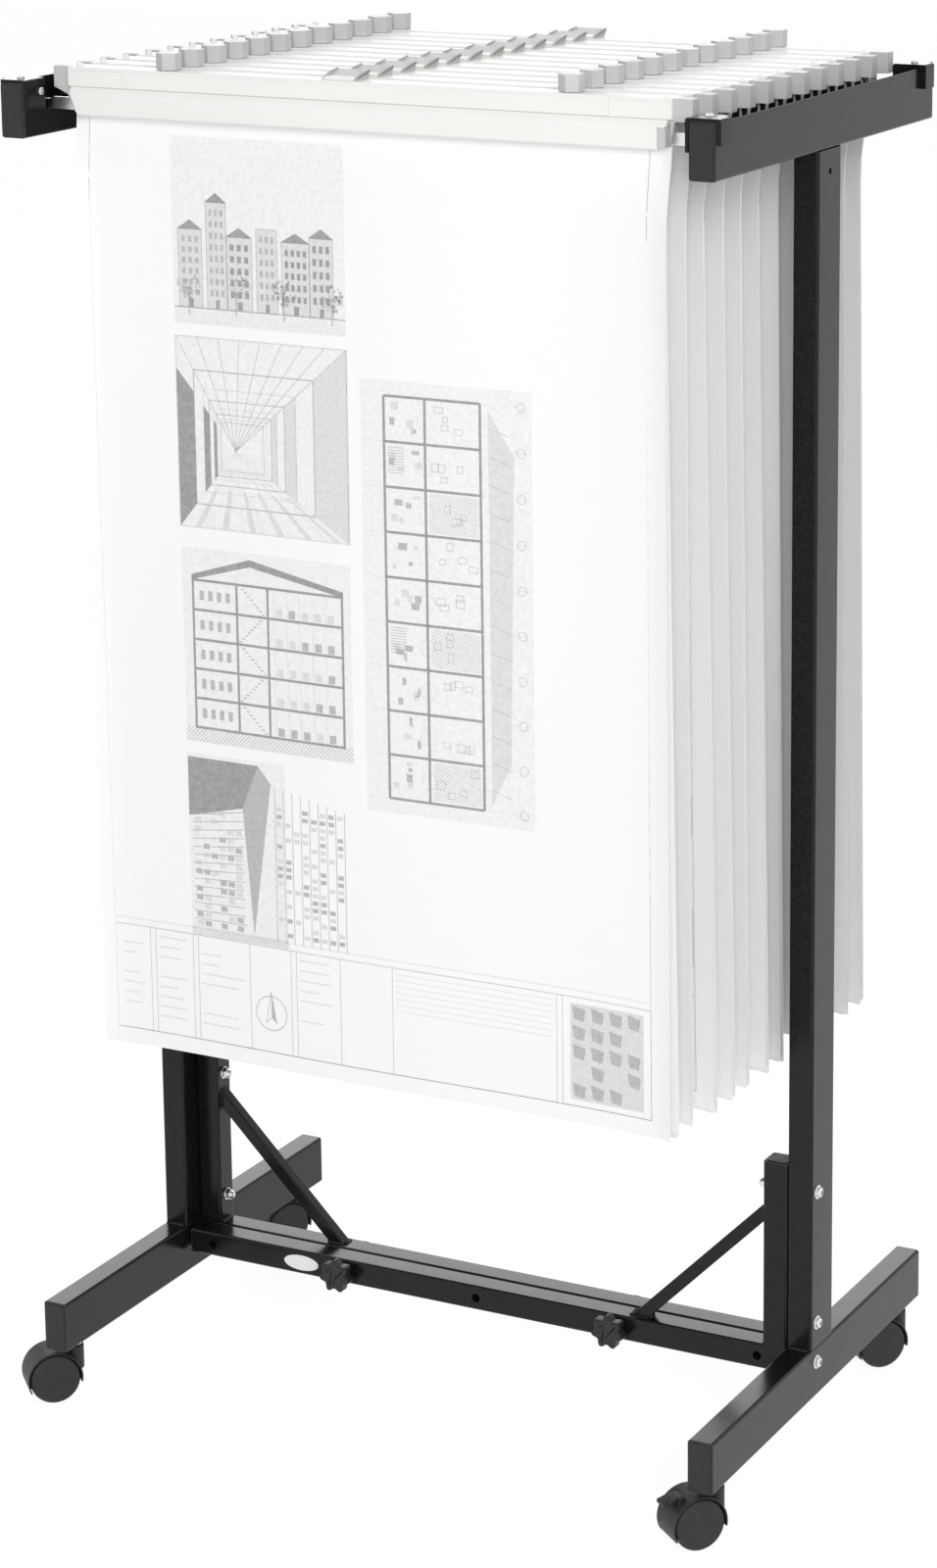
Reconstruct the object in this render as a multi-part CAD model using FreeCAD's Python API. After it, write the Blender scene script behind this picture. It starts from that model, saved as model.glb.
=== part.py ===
import FreeCAD, Part
import math
import os

# Rolling rack for hanging plan sheets: two side frames on twin-wheel casters, joined low down by a
# telescopic pair of cross tubes, with a channel rail on top of each side frame. Twelve clamp hangers
# lie across the two rails, each with a pack of large sheets hanging from it.
#
# Millimetres. X is the width (right is +X), Y the depth (front is -Y), Z is up. The pieces are
# worked out from the floor under the middle of the closed side frames. Before they are written they
# all move together, so that the origin is on the floor under the middle of the whole outline, which
# the casters' headings make a little lopsided.

V = FreeCAD.Vector

# ---- driving dimensions ---------------------------------------------------------------------------
# steel tube stock
TUBE_DEEP = 50.8            # deep side of the flat tube used for feet, uprights and rails
TUBE_THIN = 25.4            # thin side of the flat tube, and both sides of the square tube
TUBE_WALL = 1.6
TUBE_CORNER = 2.8           # outer corner radius of all tube
BRACE_SIZE = 12.7           # square bar of the corner braces

# frame
FRAME_WIDTH = 727.0         # outer face to outer face of the side frames, rack closed
FOOT_LENGTH = 490.0         # bare foot tube, along Y
RAIL_SETBACK = 3.5          # each rail end short of the foot's end
FOOT_HEIGHT = 57.0          # floor to the underside of the foot
CROSS_RISE = 10.6           # cross tubes' centre above the foot's centre
CROSS_GAP = 1.0             # between the front and the rear cross tube
CROSS_END_GAP = 6.3         # free end of a cross tube to the far foot
POST_LENGTH = 186.0         # bolted post beside the upright, standing on the cross tube
BRACE_TOP_DROP = 52.0       # post's top to the middle of the brace on the post
CAP_FLANGE = 2.0            # visible thickness of a plastic tube cap
CAP_PLUG = 14.0             # how far a cap reaches into its tube
CAP_EASE = 0.3              # cap plug to tube wall

# rail channel and end stops
RAIL_LIP = 24.0             # height of the inner wall between the stops
STOP_LENGTH = 31.0
STOP_WALL = 3.2             # its top and inner flange
STOP_WALL_OUT = 5.2         # its outer flange
STOP_DROP_IN = 26.6         # how far the stop reaches down on the inner side
STOP_DROP_OUT = 19.5        # and on the outer side
STOP_FLANGE_OUT = 20.5      # length of the outer flange, at the stop's forward end
STOP_SIDE_SCREW = 8.0       # side screw's axis from the stop's inner end
STOP_SCREW = 4.0
STOP_SCREW_HEAD = 7.5
STOP_SCREW_PROUD = 2.6

# width adjustment
SLOT_BRIDGE = 3.5           # the slots, and so the left half's travel, are this much short of the hole pitch
HOLE_COUNT = 5              # holes along the front cross tube
HOLE_INSET = 31.1           # foot's inner face to the axis of the last hole
CLAMP_HOLES = (-1, 1)       # which of the holes carry a clamp knob
CLAMP_STUD = 8.0
CLAMP_CLEAR = 0.5           # stud to hole and slot, each side
STAR_RADIUS = 13.0          # body of the star knob
STAR_LOBE = 4.4             # radius of each lobe
STAR_LOBES = 7
STAR_THICK = 11.0
STAR_EASE = 1.5             # rounding of its front edge
STAR_NECK = 8.0             # radius of the knob's neck
STAR_STANDOFF = 6.0         # neck's length, knob body to tube
CLAMP_WASHER = 12.2         # radius
CLAMP_WASHER_THICK = 2.0
CLAMP_NUT_ACROSS = 13.0
CLAMP_NUT_THICK = 6.5
TURN_GAP = 0.3              # between pieces that turn against each other

# bolts through the uprights
BOLT = 6.0
BOLT_HEAD = 10.6
BOLT_HEAD_PROUD = 3.6
BOLT_WASHER = 13.6
BOLT_WASHER_THICK = 1.3
NUT_ACROSS = 10.0
NUT_THICK = 5.0
NUT_DOME = 4.2              # radius of the dome nut's cap
DOME_ROWS = {"right": 1, "left": 2}     # how many of each half's bolts, from the top, have dome nuts
BOLT_TOP_DROP = 25.7        # post's top to the upper bolt
BOLT_LOW_RISE = 25.6        # foot's top to the lower bolt
RAIL_HOLE = 6.0             # plain hole near the upright's top
RAIL_HOLE_DROP = 20.0

# label plate on the front cross tube
LABEL_LONG = 40.0
LABEL_TALL = 16.0
LABEL_THICK = 0.8
LABEL_X = -201.0

# casters
WHEEL_RADIUS = 25.0
WHEEL_THICK = 13.4
WHEEL_EASE = 2.0            # rounding of the tread's edges
GROOVE_INSET = 4.0          # shallow ring groove in the wheel's outer face, from its rim
GROOVE_WIDE = 3.0
GROOVE_DEEP = 1.2
HUB_RADIUS = 8.0            # raised centre of the wheel's outer face
HUB_PROUD = 1.0
HUB_ROOT = 0.2
HUB_EASE = 0.8
CASTER_WIDTH = 36.6
CASTER_WEB = 8.6            # plate between the two wheels
CASTER_TRAIL = 22.0         # stem axis to axle
CASTER_INSET = 30.0         # end of the capped foot to the stem axis
HOOD_RADIUS = 27.6
HOOD_WALL = 1.6
HOOD_FAR_DROP = 12.5        # the hood's lower edge below the axle, on the side away from the stem
HOOD_STEM_DROP = 4.8        # and on the stem's side
AXLE = 6.0
AXLE_FIT = 0.05             # axle to the wheels' bores
AXLE_DEEP = 9.4             # how far the axle reaches into each wheel
STEM = 10.0
STEM_COLLAR = 17.0
STEM_REACH = 32.0           # stem length inside the foot
STEM_LOW = 42.0             # floor to the stem's lower end, inside the neck
NECK_RADIUS = 10.0
NECK_GAP = 1.0              # neck to collar
COLLAR_THICK = 3.0
LEVER_WIDE = 15.0
LEVER_THICK = 3.4
LEVER_REACH = 18.0          # lever pin to the pedal's tip
LEVER_DROP = 4.2            # the tip's underside below the pin
LEVER_PIN = 3.0
LEVER_PIN_OUT = 15.0        # axle to lever pin, away from the stem
LEVER_PIN_UP = 24.0         # axle to lever pin, upwards
LEVER_EAR = 2.0             # thickness of the ears that hold the pin
LEVER_EAR_HALF = 3.4
# heading of each caster about its stem, degrees
CASTER_HEADING = {"front_right": -38.0, "front_left": -45.0, "rear_right": -42.0, "rear_left": -30.0}
BRAKED = ("front_right", "rear_left")

# hangers
HANGER_COUNT = 12
HANGER_FRONT_GAP = 2.5      # first hanger's end plates to the front end stops
HANGER_REAR_GAP = 10.0      # last hanger's end plates to the rear end stops
HANGER_DRIFT = 0.7          # each hanger lies this much further right than the one before
PLATE_RAIL_GAP = 11.6       # end plate to the rail, when the hanger lies in the middle
LUG_BEARING = 11.9          # carrying lug's reach over the rail, from its inner face
BEAM_STEP = 18.0            # beam's end inside the end plate's
JAW_STEP = 22.0             # jaws' upper end inside the end plate's
JAW_TAPER = 8.5             # how much shorter the jaws are at the bottom, each end
KNEE_STEP = 14.5            # end plate's knee inside its outer end
BEAM_TOP = 14.4             # beam's top above the rail
BEAM_LOW = -3.9             # beam's underside, where the jaws begin
BEAM_FRONT = -4.0           # beam's front face before the end plate's front face
BEAM_DEPTH = 26.0
BEAM_CORNER = 1.6
JAW_LOW = -30.1             # jaws' underside
JAW_PROUD = 4.6             # how far the front jaw stands forward of the beam
JAW_DEPTH = 13.2            # front jaw's depth
JAW_BACKSET = 2.0           # rear jaw's back before the beam's back
JAW_EASE = 2.0              # sloped lower front edge of the front jaw
JAW_CAP_LONG = 8.0          # cap on the jaws' right-hand end
JAW_CAP_DROP = 1.7          # its top below the ledge
JAW_CAP_SETBACK = 2.0       # its back before the rear jaw's back
JAW_CAP_CORNER = 2.5
PLATE_THICK = 4.0
TAB_DEEP = 13.0             # end plate's thick upper part, above its shoulder
PLATE_SHOULDER = -5.6       # end plate's lower outer corner, from the rail's top
PLATE_KNEE = -11.6
LUG_THICK = 4.0
LUG_TALL = 17.0
LUG_REST_GAP = 0.3          # lug above the rail's lip
TURN_INSET = 120.5          # turn knob's axis from the end plate's end
TURN_ACROSS = 20.8
TURN_TALL = 16.0
TURN_SIDES = 6
TURN_EASE = 1.0
TURN_PIN = 5.0
TURN_PIN_DEEP = 12.0
PEG_INSET = 26.5            # small round pegs on the beam, from the end plate's end
PEG_BACK = 8.0              # peg's axis behind the beam's front face
PEG_RADIUS = 3.0
PEG_TALL = 3.4
INDEX_X = -22.0             # index holder from the hanger's middle
INDEX_STEP = 2.0            # each holder sits this much further right
INDEX_WIDE = 34.0
INDEX_REACH = 28.0          # its back edge behind its front edge
INDEX_RISE = 6.0            # and above it
INDEX_THICK = 1.6
INDEX_BACK = 3.0            # its front edge behind the beam's front face
GUSSET_THICK = 1.6          # triangular webs under the holder's ends

# hanging sheets
SHEET_LENGTH = 914.0
SHEET_GAP = 33.1            # sheets' side edges to the rails' inner faces
SHEET_PACK = 2.4            # thickness of one hanger's pack
SHEET_GRIP = 12.0           # length held between the jaws
UNDER_SHEETS = 82.8         # from the post caps up to the sheets' lower edges
SHORT_PACKS = {8: 30.0}     # hanger number: how much shorter its pack is

# ---- places worked out from them ------------------------------------------------------------------
HALF_WIDTH = FRAME_WIDTH / 2
SIDE_IN = HALF_WIDTH - TUBE_THIN            # inner face of foot, upright and rail
FOOT_TOP = FOOT_HEIGHT + TUBE_DEEP
FOOT_END = FOOT_LENGTH / 2 + CAP_FLANGE
CROSS_Z = FOOT_HEIGHT + TUBE_DEEP / 2 + CROSS_RISE
CROSS_LOW = CROSS_Z - TUBE_THIN / 2
CROSS_TOP = CROSS_Z + TUBE_THIN / 2
CROSS_FRONT = -(CROSS_GAP / 2 + TUBE_THIN)  # front face of the front cross tube
CROSS_MID = -(CROSS_GAP + TUBE_THIN) / 2    # its middle, and the right post's
CROSS_BACK = -CROSS_FRONT                   # rear face of the rear cross tube
POST_IN = SIDE_IN - TUBE_THIN
POST_TOP = CROSS_TOP + POST_LENGTH
SHEETS_LOW = POST_TOP + CAP_FLANGE + UNDER_SHEETS
RAIL_TOP = SHEETS_LOW + SHEET_LENGTH - SHEET_GRIP - JAW_LOW
RAIL_BOTTOM = RAIL_TOP - TUBE_DEEP
RAIL_LENGTH = FOOT_LENGTH - 2 * RAIL_SETBACK
RAIL_END = RAIL_LENGTH / 2 + CAP_FLANGE
STOP_BACK = RAIL_END - STOP_LENGTH          # inner end of the stop along Y
LIP_TOP = RAIL_BOTTOM + RAIL_LIP
CROSS_FREE_END = -(SIDE_IN - CROSS_END_GAP)
BOLT_HEIGHTS = (POST_TOP - BOLT_TOP_DROP, FOOT_TOP + BOLT_LOW_RISE, CROSS_Z)
HOLE_PITCH = (SIDE_IN - HOLE_INSET) / (HOLE_COUNT // 2)
WIDTH_TRAVEL = HOLE_PITCH - SLOT_BRIDGE
CLAMP_XS = [hole * HOLE_PITCH for hole in CLAMP_HOLES]
STEM_Y = FOOT_END - CASTER_INSET
STEM_X = HALF_WIDTH - TUBE_THIN / 2
PLATE_HALF = SIDE_IN - PLATE_RAIL_GAP       # half length of a hanger over its end plates
LUG_HALF = SIDE_IN + LUG_BEARING            # and over its carrying lugs
BEAM_HALF = PLATE_HALF - BEAM_STEP
JAW_HALF_TOP = PLATE_HALF - JAW_STEP
JAW_HALF_LOW = JAW_HALF_TOP - JAW_TAPER
JAW_CAP_START = JAW_HALF_TOP - JAW_CAP_LONG
TURN_X = PLATE_HALF - TURN_INSET
PEG_X = PLATE_HALF - PEG_INSET
HANGER_FRONT = HANGER_FRONT_GAP - STOP_BACK
HANGER_PITCH = (STOP_BACK - HANGER_REAR_GAP - HANGER_FRONT) / (HANGER_COUNT - 1)
SHEET_WIDTH = 2 * (SIDE_IN - SHEET_GAP)

X_AXIS = V(1, 0, 0)
Y_AXIS = V(0, 1, 0)
Z_AXIS = V(0, 0, 1)
AXES = {"x": X_AXIS, "y": Y_AXIS, "z": Z_AXIS}


# ---- small helpers --------------------------------------------------------------------------------
def box(low, high):
    """Plain box between two corners."""
    size = V(*high) - V(*low)
    return Part.makeBox(size.x, size.y, size.z, V(*low))


def edges_along(solid, axis):
    """Straight edges of a solid that run along the named axis."""
    found = []
    for edge in solid.Edges:
        if edge.Curve.TypeId == "Part::GeomLine" and abs(edge.Curve.Direction.dot(AXES[axis])) > 0.999:
            found.append(edge)
    return found


def rounded_box(low, high, axis, radius):
    """Box whose four edges along one axis are rounded."""
    solid = box(low, high)
    return solid.makeFillet(radius, edges_along(solid, axis))


def tube(low, high, axis):
    """Rectangular tube that fills the box between two corners and runs along one axis."""
    inner_low = []
    inner_high = []
    for index, name in enumerate("xyz"):
        step = -1.0 if name == axis else TUBE_WALL
        inner_low.append(low[index] + step)
        inner_high.append(high[index] - step)
    outer = rounded_box(low, high, axis, TUBE_CORNER)
    return outer.cut(rounded_box(inner_low, inner_high, axis, TUBE_CORNER - TUBE_WALL))


def rod(radius, start, direction, length):
    """Cylinder from a start point."""
    return Part.makeCylinder(radius, length, V(*start), V(*direction))


def prism(points, direction):
    """Solid made by pushing a flat polygon along a vector."""
    corners = [V(*point) for point in points]
    return Part.Face(Part.makePolygon(corners + corners[:1])).extrude(V(*direction))


def regular_prism(sides, across, centre, axis, length):
    """Prism with a regular section, measured across its flats, standing on a centre point."""
    radius = across / 2 / math.cos(math.pi / sides)
    corners = []
    for step in range(sides):
        angle = 2 * math.pi * (step + 0.5) / sides
        corners.append((radius * math.cos(angle), radius * math.sin(angle), 0))
    solid = prism(corners, (0, 0, length))
    solid.Placement = FreeCAD.Placement(V(*centre), FreeCAD.Rotation(Z_AXIS, V(*axis)))
    return solid


def half_turn(shape):
    """The same shape turned half a turn about the rack's middle: a right-hand piece made left-hand."""
    turned = shape.copy()
    turned.rotate(V(0, 0, 0), Z_AXIS, 180)
    return turned


def gather(solids):
    """One sub-part's shape; several solids stay separate inside it."""
    return solids[0] if len(solids) == 1 else Part.makeCompound(solids)


# ---- side frame, modelled on the right ------------------------------------------------------------
def nut_face(row, dome_rows):
    """X of the face that a side bolt's nut sits on. A dome nut sits on the post's inner side, a plain one
    inside the post, and the lowest one inside the cross tube, on the foot."""
    if row < dome_rows:
        return POST_IN
    if row == len(BOLT_HEIGHTS) - 1:
        return SIDE_IN
    return SIDE_IN - TUBE_WALL


def bolt_holes(dome_rows):
    """The side bolts' holes, for every piece that they pass."""
    holes = []
    for row, height in enumerate(BOLT_HEIGHTS):
        start = nut_face(row, dome_rows) - 1
        holes.append(rod(BOLT / 2, (start, CROSS_MID, height), (1, 0, 0), HALF_WIDTH + 1 - start))
    return Part.makeCompound(holes)


def foot():
    half = FOOT_LENGTH / 2
    body = tube((SIDE_IN, -half, FOOT_HEIGHT), (HALF_WIDTH, half, FOOT_TOP), "y")
    for side in (-1, 1):
        body = body.cut(rod(STEM / 2, (STEM_X, side * STEM_Y, FOOT_HEIGHT - 1), (0, 0, 1), TUBE_WALL + 2))
    return body.cut(bolt_holes(0))


def upright():
    half = TUBE_DEEP / 2
    body = tube((SIDE_IN, -half, FOOT_TOP), (HALF_WIDTH, half, RAIL_BOTTOM), "z")
    hole = rod(RAIL_HOLE / 2, (HALF_WIDTH - TUBE_WALL - 1, 0, RAIL_BOTTOM - RAIL_HOLE_DROP), (1, 0, 0), 10)
    return body.cut(hole).cut(bolt_holes(0))


def rail():
    """Tube whose top and upper inner wall are cut away between the stops, leaving a channel."""
    half = RAIL_LENGTH / 2
    body = tube((SIDE_IN, -half, RAIL_BOTTOM), (HALF_WIDTH, half, RAIL_TOP), "y")
    opening = box((SIDE_IN - 1, -STOP_BACK, LIP_TOP), (HALF_WIDTH - TUBE_WALL, STOP_BACK, RAIL_TOP + 1))
    body = body.cut(opening)
    for side in (-1, 1):
        for hole in stop_screw_shanks(side):
            body = body.cut(hole)
    return body


def stop_screw_shanks(side):
    """Shanks of the two screws of one end stop: one down through the top, one in from the inner side."""
    middle = side * (RAIL_END + STOP_BACK) / 2
    down = rod(STOP_SCREW / 2, (STEM_X, middle, RAIL_TOP + STOP_WALL), (0, 0, -1), STOP_WALL + TUBE_WALL)
    across = rod(STOP_SCREW / 2, side_screw_place(side), (1, 0, 0), STOP_WALL + TUBE_WALL)
    return down, across


def side_screw_place(side):
    """Where the side screw's head meets the stop's inner flange."""
    return SIDE_IN - STOP_WALL, side * (STOP_BACK + STOP_SIDE_SCREW), RAIL_TOP - STOP_DROP_IN / 3


def end_stop(side):
    """Saddle over the rail's end: a long inner flange, and a short, thicker outer one at its forward end."""
    near = STOP_BACK
    low = (SIDE_IN - STOP_WALL, near, RAIL_TOP - STOP_DROP_IN)
    high = (HALF_WIDTH + STOP_WALL_OUT, RAIL_END, RAIL_TOP + STOP_WALL)
    block = rounded_box(low, high, "y", STOP_WALL)
    room = rounded_box((SIDE_IN, near - 1, RAIL_TOP - 2 * STOP_DROP_IN), (HALF_WIDTH, RAIL_END + 1, RAIL_TOP),
                       "y", TUBE_CORNER)
    block = block.cut(room)
    trim_low = (HALF_WIDTH - 0.01, near - 1, low[2] - 1)
    trim_high = (HALF_WIDTH + STOP_WALL_OUT + 1, RAIL_END + 1, RAIL_TOP - STOP_DROP_OUT)
    block = block.cut(box(trim_low, trim_high))
    if side < 0:
        bare_from, bare_to = near - 1, RAIL_END - STOP_FLANGE_OUT
    else:
        bare_from, bare_to = near + STOP_FLANGE_OUT, RAIL_END + 1
    bare_side = HALF_WIDTH - TUBE_CORNER / 3
    block = block.cut(box((bare_side, bare_from, low[2] - 1), (high[0] + 1, bare_to, high[2] + 1)))
    if side < 0:
        block = block.mirror(V(0, 0, 0), Y_AXIS)
    for shank in stop_screw_shanks(side):
        block = block.cut(shank)
    return block


def stop_screws(side):
    """Pan-head screws of one end stop."""
    middle = side * (RAIL_END + STOP_BACK) / 2
    down, across = stop_screw_shanks(side)
    top_head = pan_head(STOP_SCREW_HEAD / 2, STOP_SCREW_PROUD, (STEM_X, middle, RAIL_TOP + STOP_WALL), Z_AXIS)
    side_head = pan_head(STOP_SCREW_HEAD / 2, STOP_SCREW_PROUD, side_screw_place(side), V(-1, 0, 0))
    return down.fuse(top_head), across.fuse(side_head)


def pan_head(radius, proud, centre, axis):
    """Low round screw head with a domed edge and a cross recess."""
    head = Part.makeCylinder(radius, proud)
    head = head.makeFillet(proud * 0.6, [head.Edges[0]])
    slot = radius * 0.24
    arm = radius * 0.56
    depth = proud * 0.5
    cross = box((-arm, -slot, proud - depth), (arm, slot, proud + 1))
    cross = cross.fuse(box((-slot, -arm, proud - depth), (slot, arm, proud + 1)))
    head = head.cut(cross)
    head.Placement = FreeCAD.Placement(V(*centre), FreeCAD.Rotation(Z_AXIS, axis))
    return head


def post(dome_rows):
    """Square post on the cross tube's end, beside the upright and in its front half."""
    low = (POST_IN, CROSS_FRONT, CROSS_TOP)
    high = (SIDE_IN, CROSS_FRONT + TUBE_THIN, POST_TOP)
    return tube(low, high, "z").cut(bolt_holes(dome_rows))


def brace():
    """Square bar at 45 degrees from the post down to the cross tube."""
    high_z = POST_TOP - BRACE_TOP_DROP
    drop = high_z - CROSS_TOP
    half = BRACE_SIZE / 2
    rise = half * math.sqrt(2)
    front = CROSS_MID - half
    corners = [
        (POST_IN, front, high_z + rise),
        (POST_IN, front, high_z - rise),
        (POST_IN - drop + rise, front, CROSS_TOP),
        (POST_IN - drop - rise, front, CROSS_TOP),
    ]
    return prism(corners, (0, BRACE_SIZE, 0))


def cross_tube():
    """Square cross tube fixed to the right foot, with its free end near the left foot."""
    return tube((CROSS_FREE_END, CROSS_FRONT, CROSS_LOW), (SIDE_IN, CROSS_FRONT + TUBE_THIN, CROSS_TOP), "x")


def front_cross_tube():
    body = cross_tube()
    first = -(HOLE_COUNT // 2)
    for step in range(first, first + HOLE_COUNT):
        start = (step * HOLE_PITCH, CROSS_FRONT - 1, CROSS_Z)
        body = body.cut(rod(CLAMP_STUD / 2 + CLAMP_CLEAR, start, (0, 1, 0), TUBE_THIN + 2))
    return body


def rear_cross_tube():
    """Turned copy with two long slots, so that it can slide past the clamp studs."""
    body = half_turn(cross_tube())
    radius = CLAMP_STUD / 2 + CLAMP_CLEAR
    front = CROSS_GAP / 2 - 1
    deep = TUBE_THIN + 2
    for centre in CLAMP_XS:
        far = centre + WIDTH_TRAVEL
        slot = box((centre, front, CROSS_Z - radius), (far, front + deep, CROSS_Z + radius))
        slot = slot.fuse(rod(radius, (centre, front, CROSS_Z), (0, 1, 0), deep))
        slot = slot.fuse(rod(radius, (far, front, CROSS_Z), (0, 1, 0), deep))
        body = body.cut(slot)
    return body


def tube_cap(low, high, axis, outward):
    """Plastic cap: a flange over the tube's end and a hollow plug inside. low and high bound the tube."""
    index = "xyz".index(axis)
    end = high[index] if outward > 0 else low[index]
    flange_low = list(low)
    flange_high = list(high)
    plug_low = [value + TUBE_WALL + CAP_EASE for value in low]
    plug_high = [value - TUBE_WALL - CAP_EASE for value in high]
    flange_low[index] = min(end, end + outward * CAP_FLANGE)
    flange_high[index] = max(end, end + outward * CAP_FLANGE)
    plug_low[index] = min(end, end - outward * CAP_PLUG)
    plug_high[index] = max(end, end - outward * CAP_PLUG)
    flange = rounded_box(flange_low, flange_high, axis, TUBE_CORNER)
    rim = []
    for edge in flange.Edges:
        centre = edge.CenterOfMass[index]
        if abs(centre - (end + outward * CAP_FLANGE)) < 0.01:
            rim.append(edge)
    flange = flange.makeFillet(CAP_FLANGE * 0.45, rim)
    plug = rounded_box(plug_low, plug_high, axis, TUBE_CORNER - TUBE_WALL)
    room_low = [value + TUBE_WALL for value in plug_low]
    room_high = [value - TUBE_WALL for value in plug_high]
    room_low[index] = plug_low[index] if outward > 0 else plug_low[index] + TUBE_WALL
    room_high[index] = plug_high[index] - TUBE_WALL if outward > 0 else plug_high[index]
    return flange.fuse(plug.cut(box(room_low, room_high))).removeSplitter()


def end_caps():
    """Caps of the right half: both ends of the foot and the rail, the post's top, the cross tube's end."""
    caps = []
    for side in (-1, 1):
        half = FOOT_LENGTH / 2
        caps.append(tube_cap((SIDE_IN, -half, FOOT_HEIGHT), (HALF_WIDTH, half, FOOT_TOP), "y", side))
        half = RAIL_LENGTH / 2
        caps.append(tube_cap((SIDE_IN, -half, RAIL_BOTTOM), (HALF_WIDTH, half, RAIL_TOP), "y", side))
    post_low = (POST_IN, CROSS_FRONT, CROSS_TOP)
    post_high = (SIDE_IN, CROSS_FRONT + TUBE_THIN, POST_TOP)
    caps.append(tube_cap(post_low, post_high, "z", 1))
    cross_low = (CROSS_FREE_END, CROSS_FRONT, CROSS_LOW)
    cross_high = (SIDE_IN, CROSS_FRONT + TUBE_THIN, CROSS_TOP)
    caps.append(tube_cap(cross_low, cross_high, "x", -1))
    return caps


def side_bolt(row, dome_rows):
    """Bolt, washer and nut of one side bolt, as three solids. The upper rows have dome nuts."""
    height = BOLT_HEIGHTS[row]
    outer = HALF_WIDTH + BOLT_WASHER_THICK
    seat = nut_face(row, dome_rows)
    shank_end = seat - NUT_THICK
    shank = rod(BOLT / 2, (shank_end, CROSS_MID, height), (1, 0, 0), outer - shank_end)
    head = pan_head(BOLT_HEAD / 2, BOLT_HEAD_PROUD, (outer, CROSS_MID, height), X_AXIS)
    washer = rod(BOLT_WASHER / 2, (HALF_WIDTH, CROSS_MID, height), (1, 0, 0), BOLT_WASHER_THICK)
    washer = washer.cut(rod(BOLT / 2, (HALF_WIDTH - 1, CROSS_MID, height), (1, 0, 0), BOLT_WASHER_THICK + 2))
    nut = regular_prism(6, NUT_ACROSS, (seat, CROSS_MID, height), (-1, 0, 0), NUT_THICK)
    nut = nut.cut(rod(BOLT / 2, (seat + 1, CROSS_MID, height), (-1, 0, 0), NUT_THICK + 1))
    if row < dome_rows:
        dome = Part.makeSphere(NUT_DOME, V(shank_end, CROSS_MID, height))
        reach = 2 * NUT_DOME
        trim_low = (shank_end, CROSS_MID - reach, height - reach)
        nut = nut.fuse(dome.cut(box(trim_low, (shank_end + reach, CROSS_MID + reach, height + reach))))
    return shank.fuse(head), washer, nut


def fasteners(dome_rows):
    """Every screw, bolt, washer and nut of one half, placed as on the right."""
    pieces = []
    for row in range(len(BOLT_HEIGHTS)):
        pieces.extend(side_bolt(row, dome_rows))
    for side in (-1, 1):
        pieces.extend(stop_screws(side))
    return pieces


def label_plate():
    """Blank oval plate on the front cross tube."""
    plate = Part.makeCylinder(LABEL_LONG / 2, LABEL_THICK)
    squeeze = FreeCAD.Matrix()
    squeeze.scale(1.0, LABEL_TALL / LABEL_LONG, 1.0)
    plate = plate.transformGeometry(squeeze)
    plate.Placement = FreeCAD.Placement(V(LABEL_X, CROSS_FRONT, CROSS_Z), FreeCAD.Rotation(X_AXIS, 90))
    return plate


# ---- clamp knobs ----------------------------------------------------------------------------------
def eased_disc(radius, thick, front):
    """Disc that faces the front, with a rounded front edge."""
    disc = Part.makeCylinder(radius, thick)
    disc = disc.makeFillet(STAR_EASE, [disc.Edges[0]])
    disc.Placement = FreeCAD.Placement(V(*front) + V(0, thick, 0), FreeCAD.Rotation(X_AXIS, 90))
    return disc


def clamp_knob(centre):
    """Star knob with its stud, which passes both cross tubes."""
    face = CROSS_FRONT - TURN_GAP
    front = face - STAR_STANDOFF - STAR_THICK
    body = eased_disc(STAR_RADIUS, STAR_THICK, (centre, front, CROSS_Z))
    for step in range(STAR_LOBES):
        angle = 2 * math.pi * step / STAR_LOBES + math.pi / 2
        at = (centre + STAR_RADIUS * math.cos(angle), front, CROSS_Z + STAR_RADIUS * math.sin(angle))
        body = body.fuse(eased_disc(STAR_LOBE, STAR_THICK, at))
    body = body.fuse(rod(STAR_NECK, (centre, front + STAR_THICK, CROSS_Z), (0, 1, 0), STAR_STANDOFF))
    stud_end = CROSS_BACK + CLAMP_WASHER_THICK + CLAMP_NUT_THICK + 3 * TURN_GAP + CLAMP_STUD / 4
    stud_start = face - STAR_STANDOFF
    stud = rod(CLAMP_STUD / 2, (centre, stud_start, CROSS_Z), (0, 1, 0), stud_end - stud_start)
    return body.fuse(stud).removeSplitter()


def clamp_washers():
    """Large washer and nut behind the rear cross tube, for each knob."""
    pieces = []
    bore = CLAMP_STUD / 2 + TURN_GAP
    for centre in CLAMP_XS:
        start = CROSS_BACK + TURN_GAP
        washer = rod(CLAMP_WASHER, (centre, start, CROSS_Z), (0, 1, 0), CLAMP_WASHER_THICK)
        pieces.append(washer.cut(rod(bore, (centre, start - 1, CROSS_Z), (0, 1, 0), CLAMP_WASHER_THICK + 2)))
        start = start + CLAMP_WASHER_THICK
        nut = regular_prism(6, CLAMP_NUT_ACROSS, (centre, start, CROSS_Z), (0, 1, 0), CLAMP_NUT_THICK)
        pieces.append(nut.cut(rod(bore, (centre, start - 1, CROSS_Z), (0, 1, 0), CLAMP_NUT_THICK + 2)))
    return pieces


# ---- casters, modelled with the stem on the Z axis and the axle along X ----------------------------
def place_caster(shape, corner):
    """Turn a caster piece to its heading and move it under its end of the foot."""
    end, hand = corner.split("_")
    placed = shape.copy()
    placed.rotate(V(0, 0, 0), Z_AXIS, CASTER_HEADING[corner])
    along = -STEM_Y if end == "front" else STEM_Y
    across = STEM_X if hand == "right" else -STEM_X
    placed.translate(V(across, along, 0))
    return placed


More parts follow.
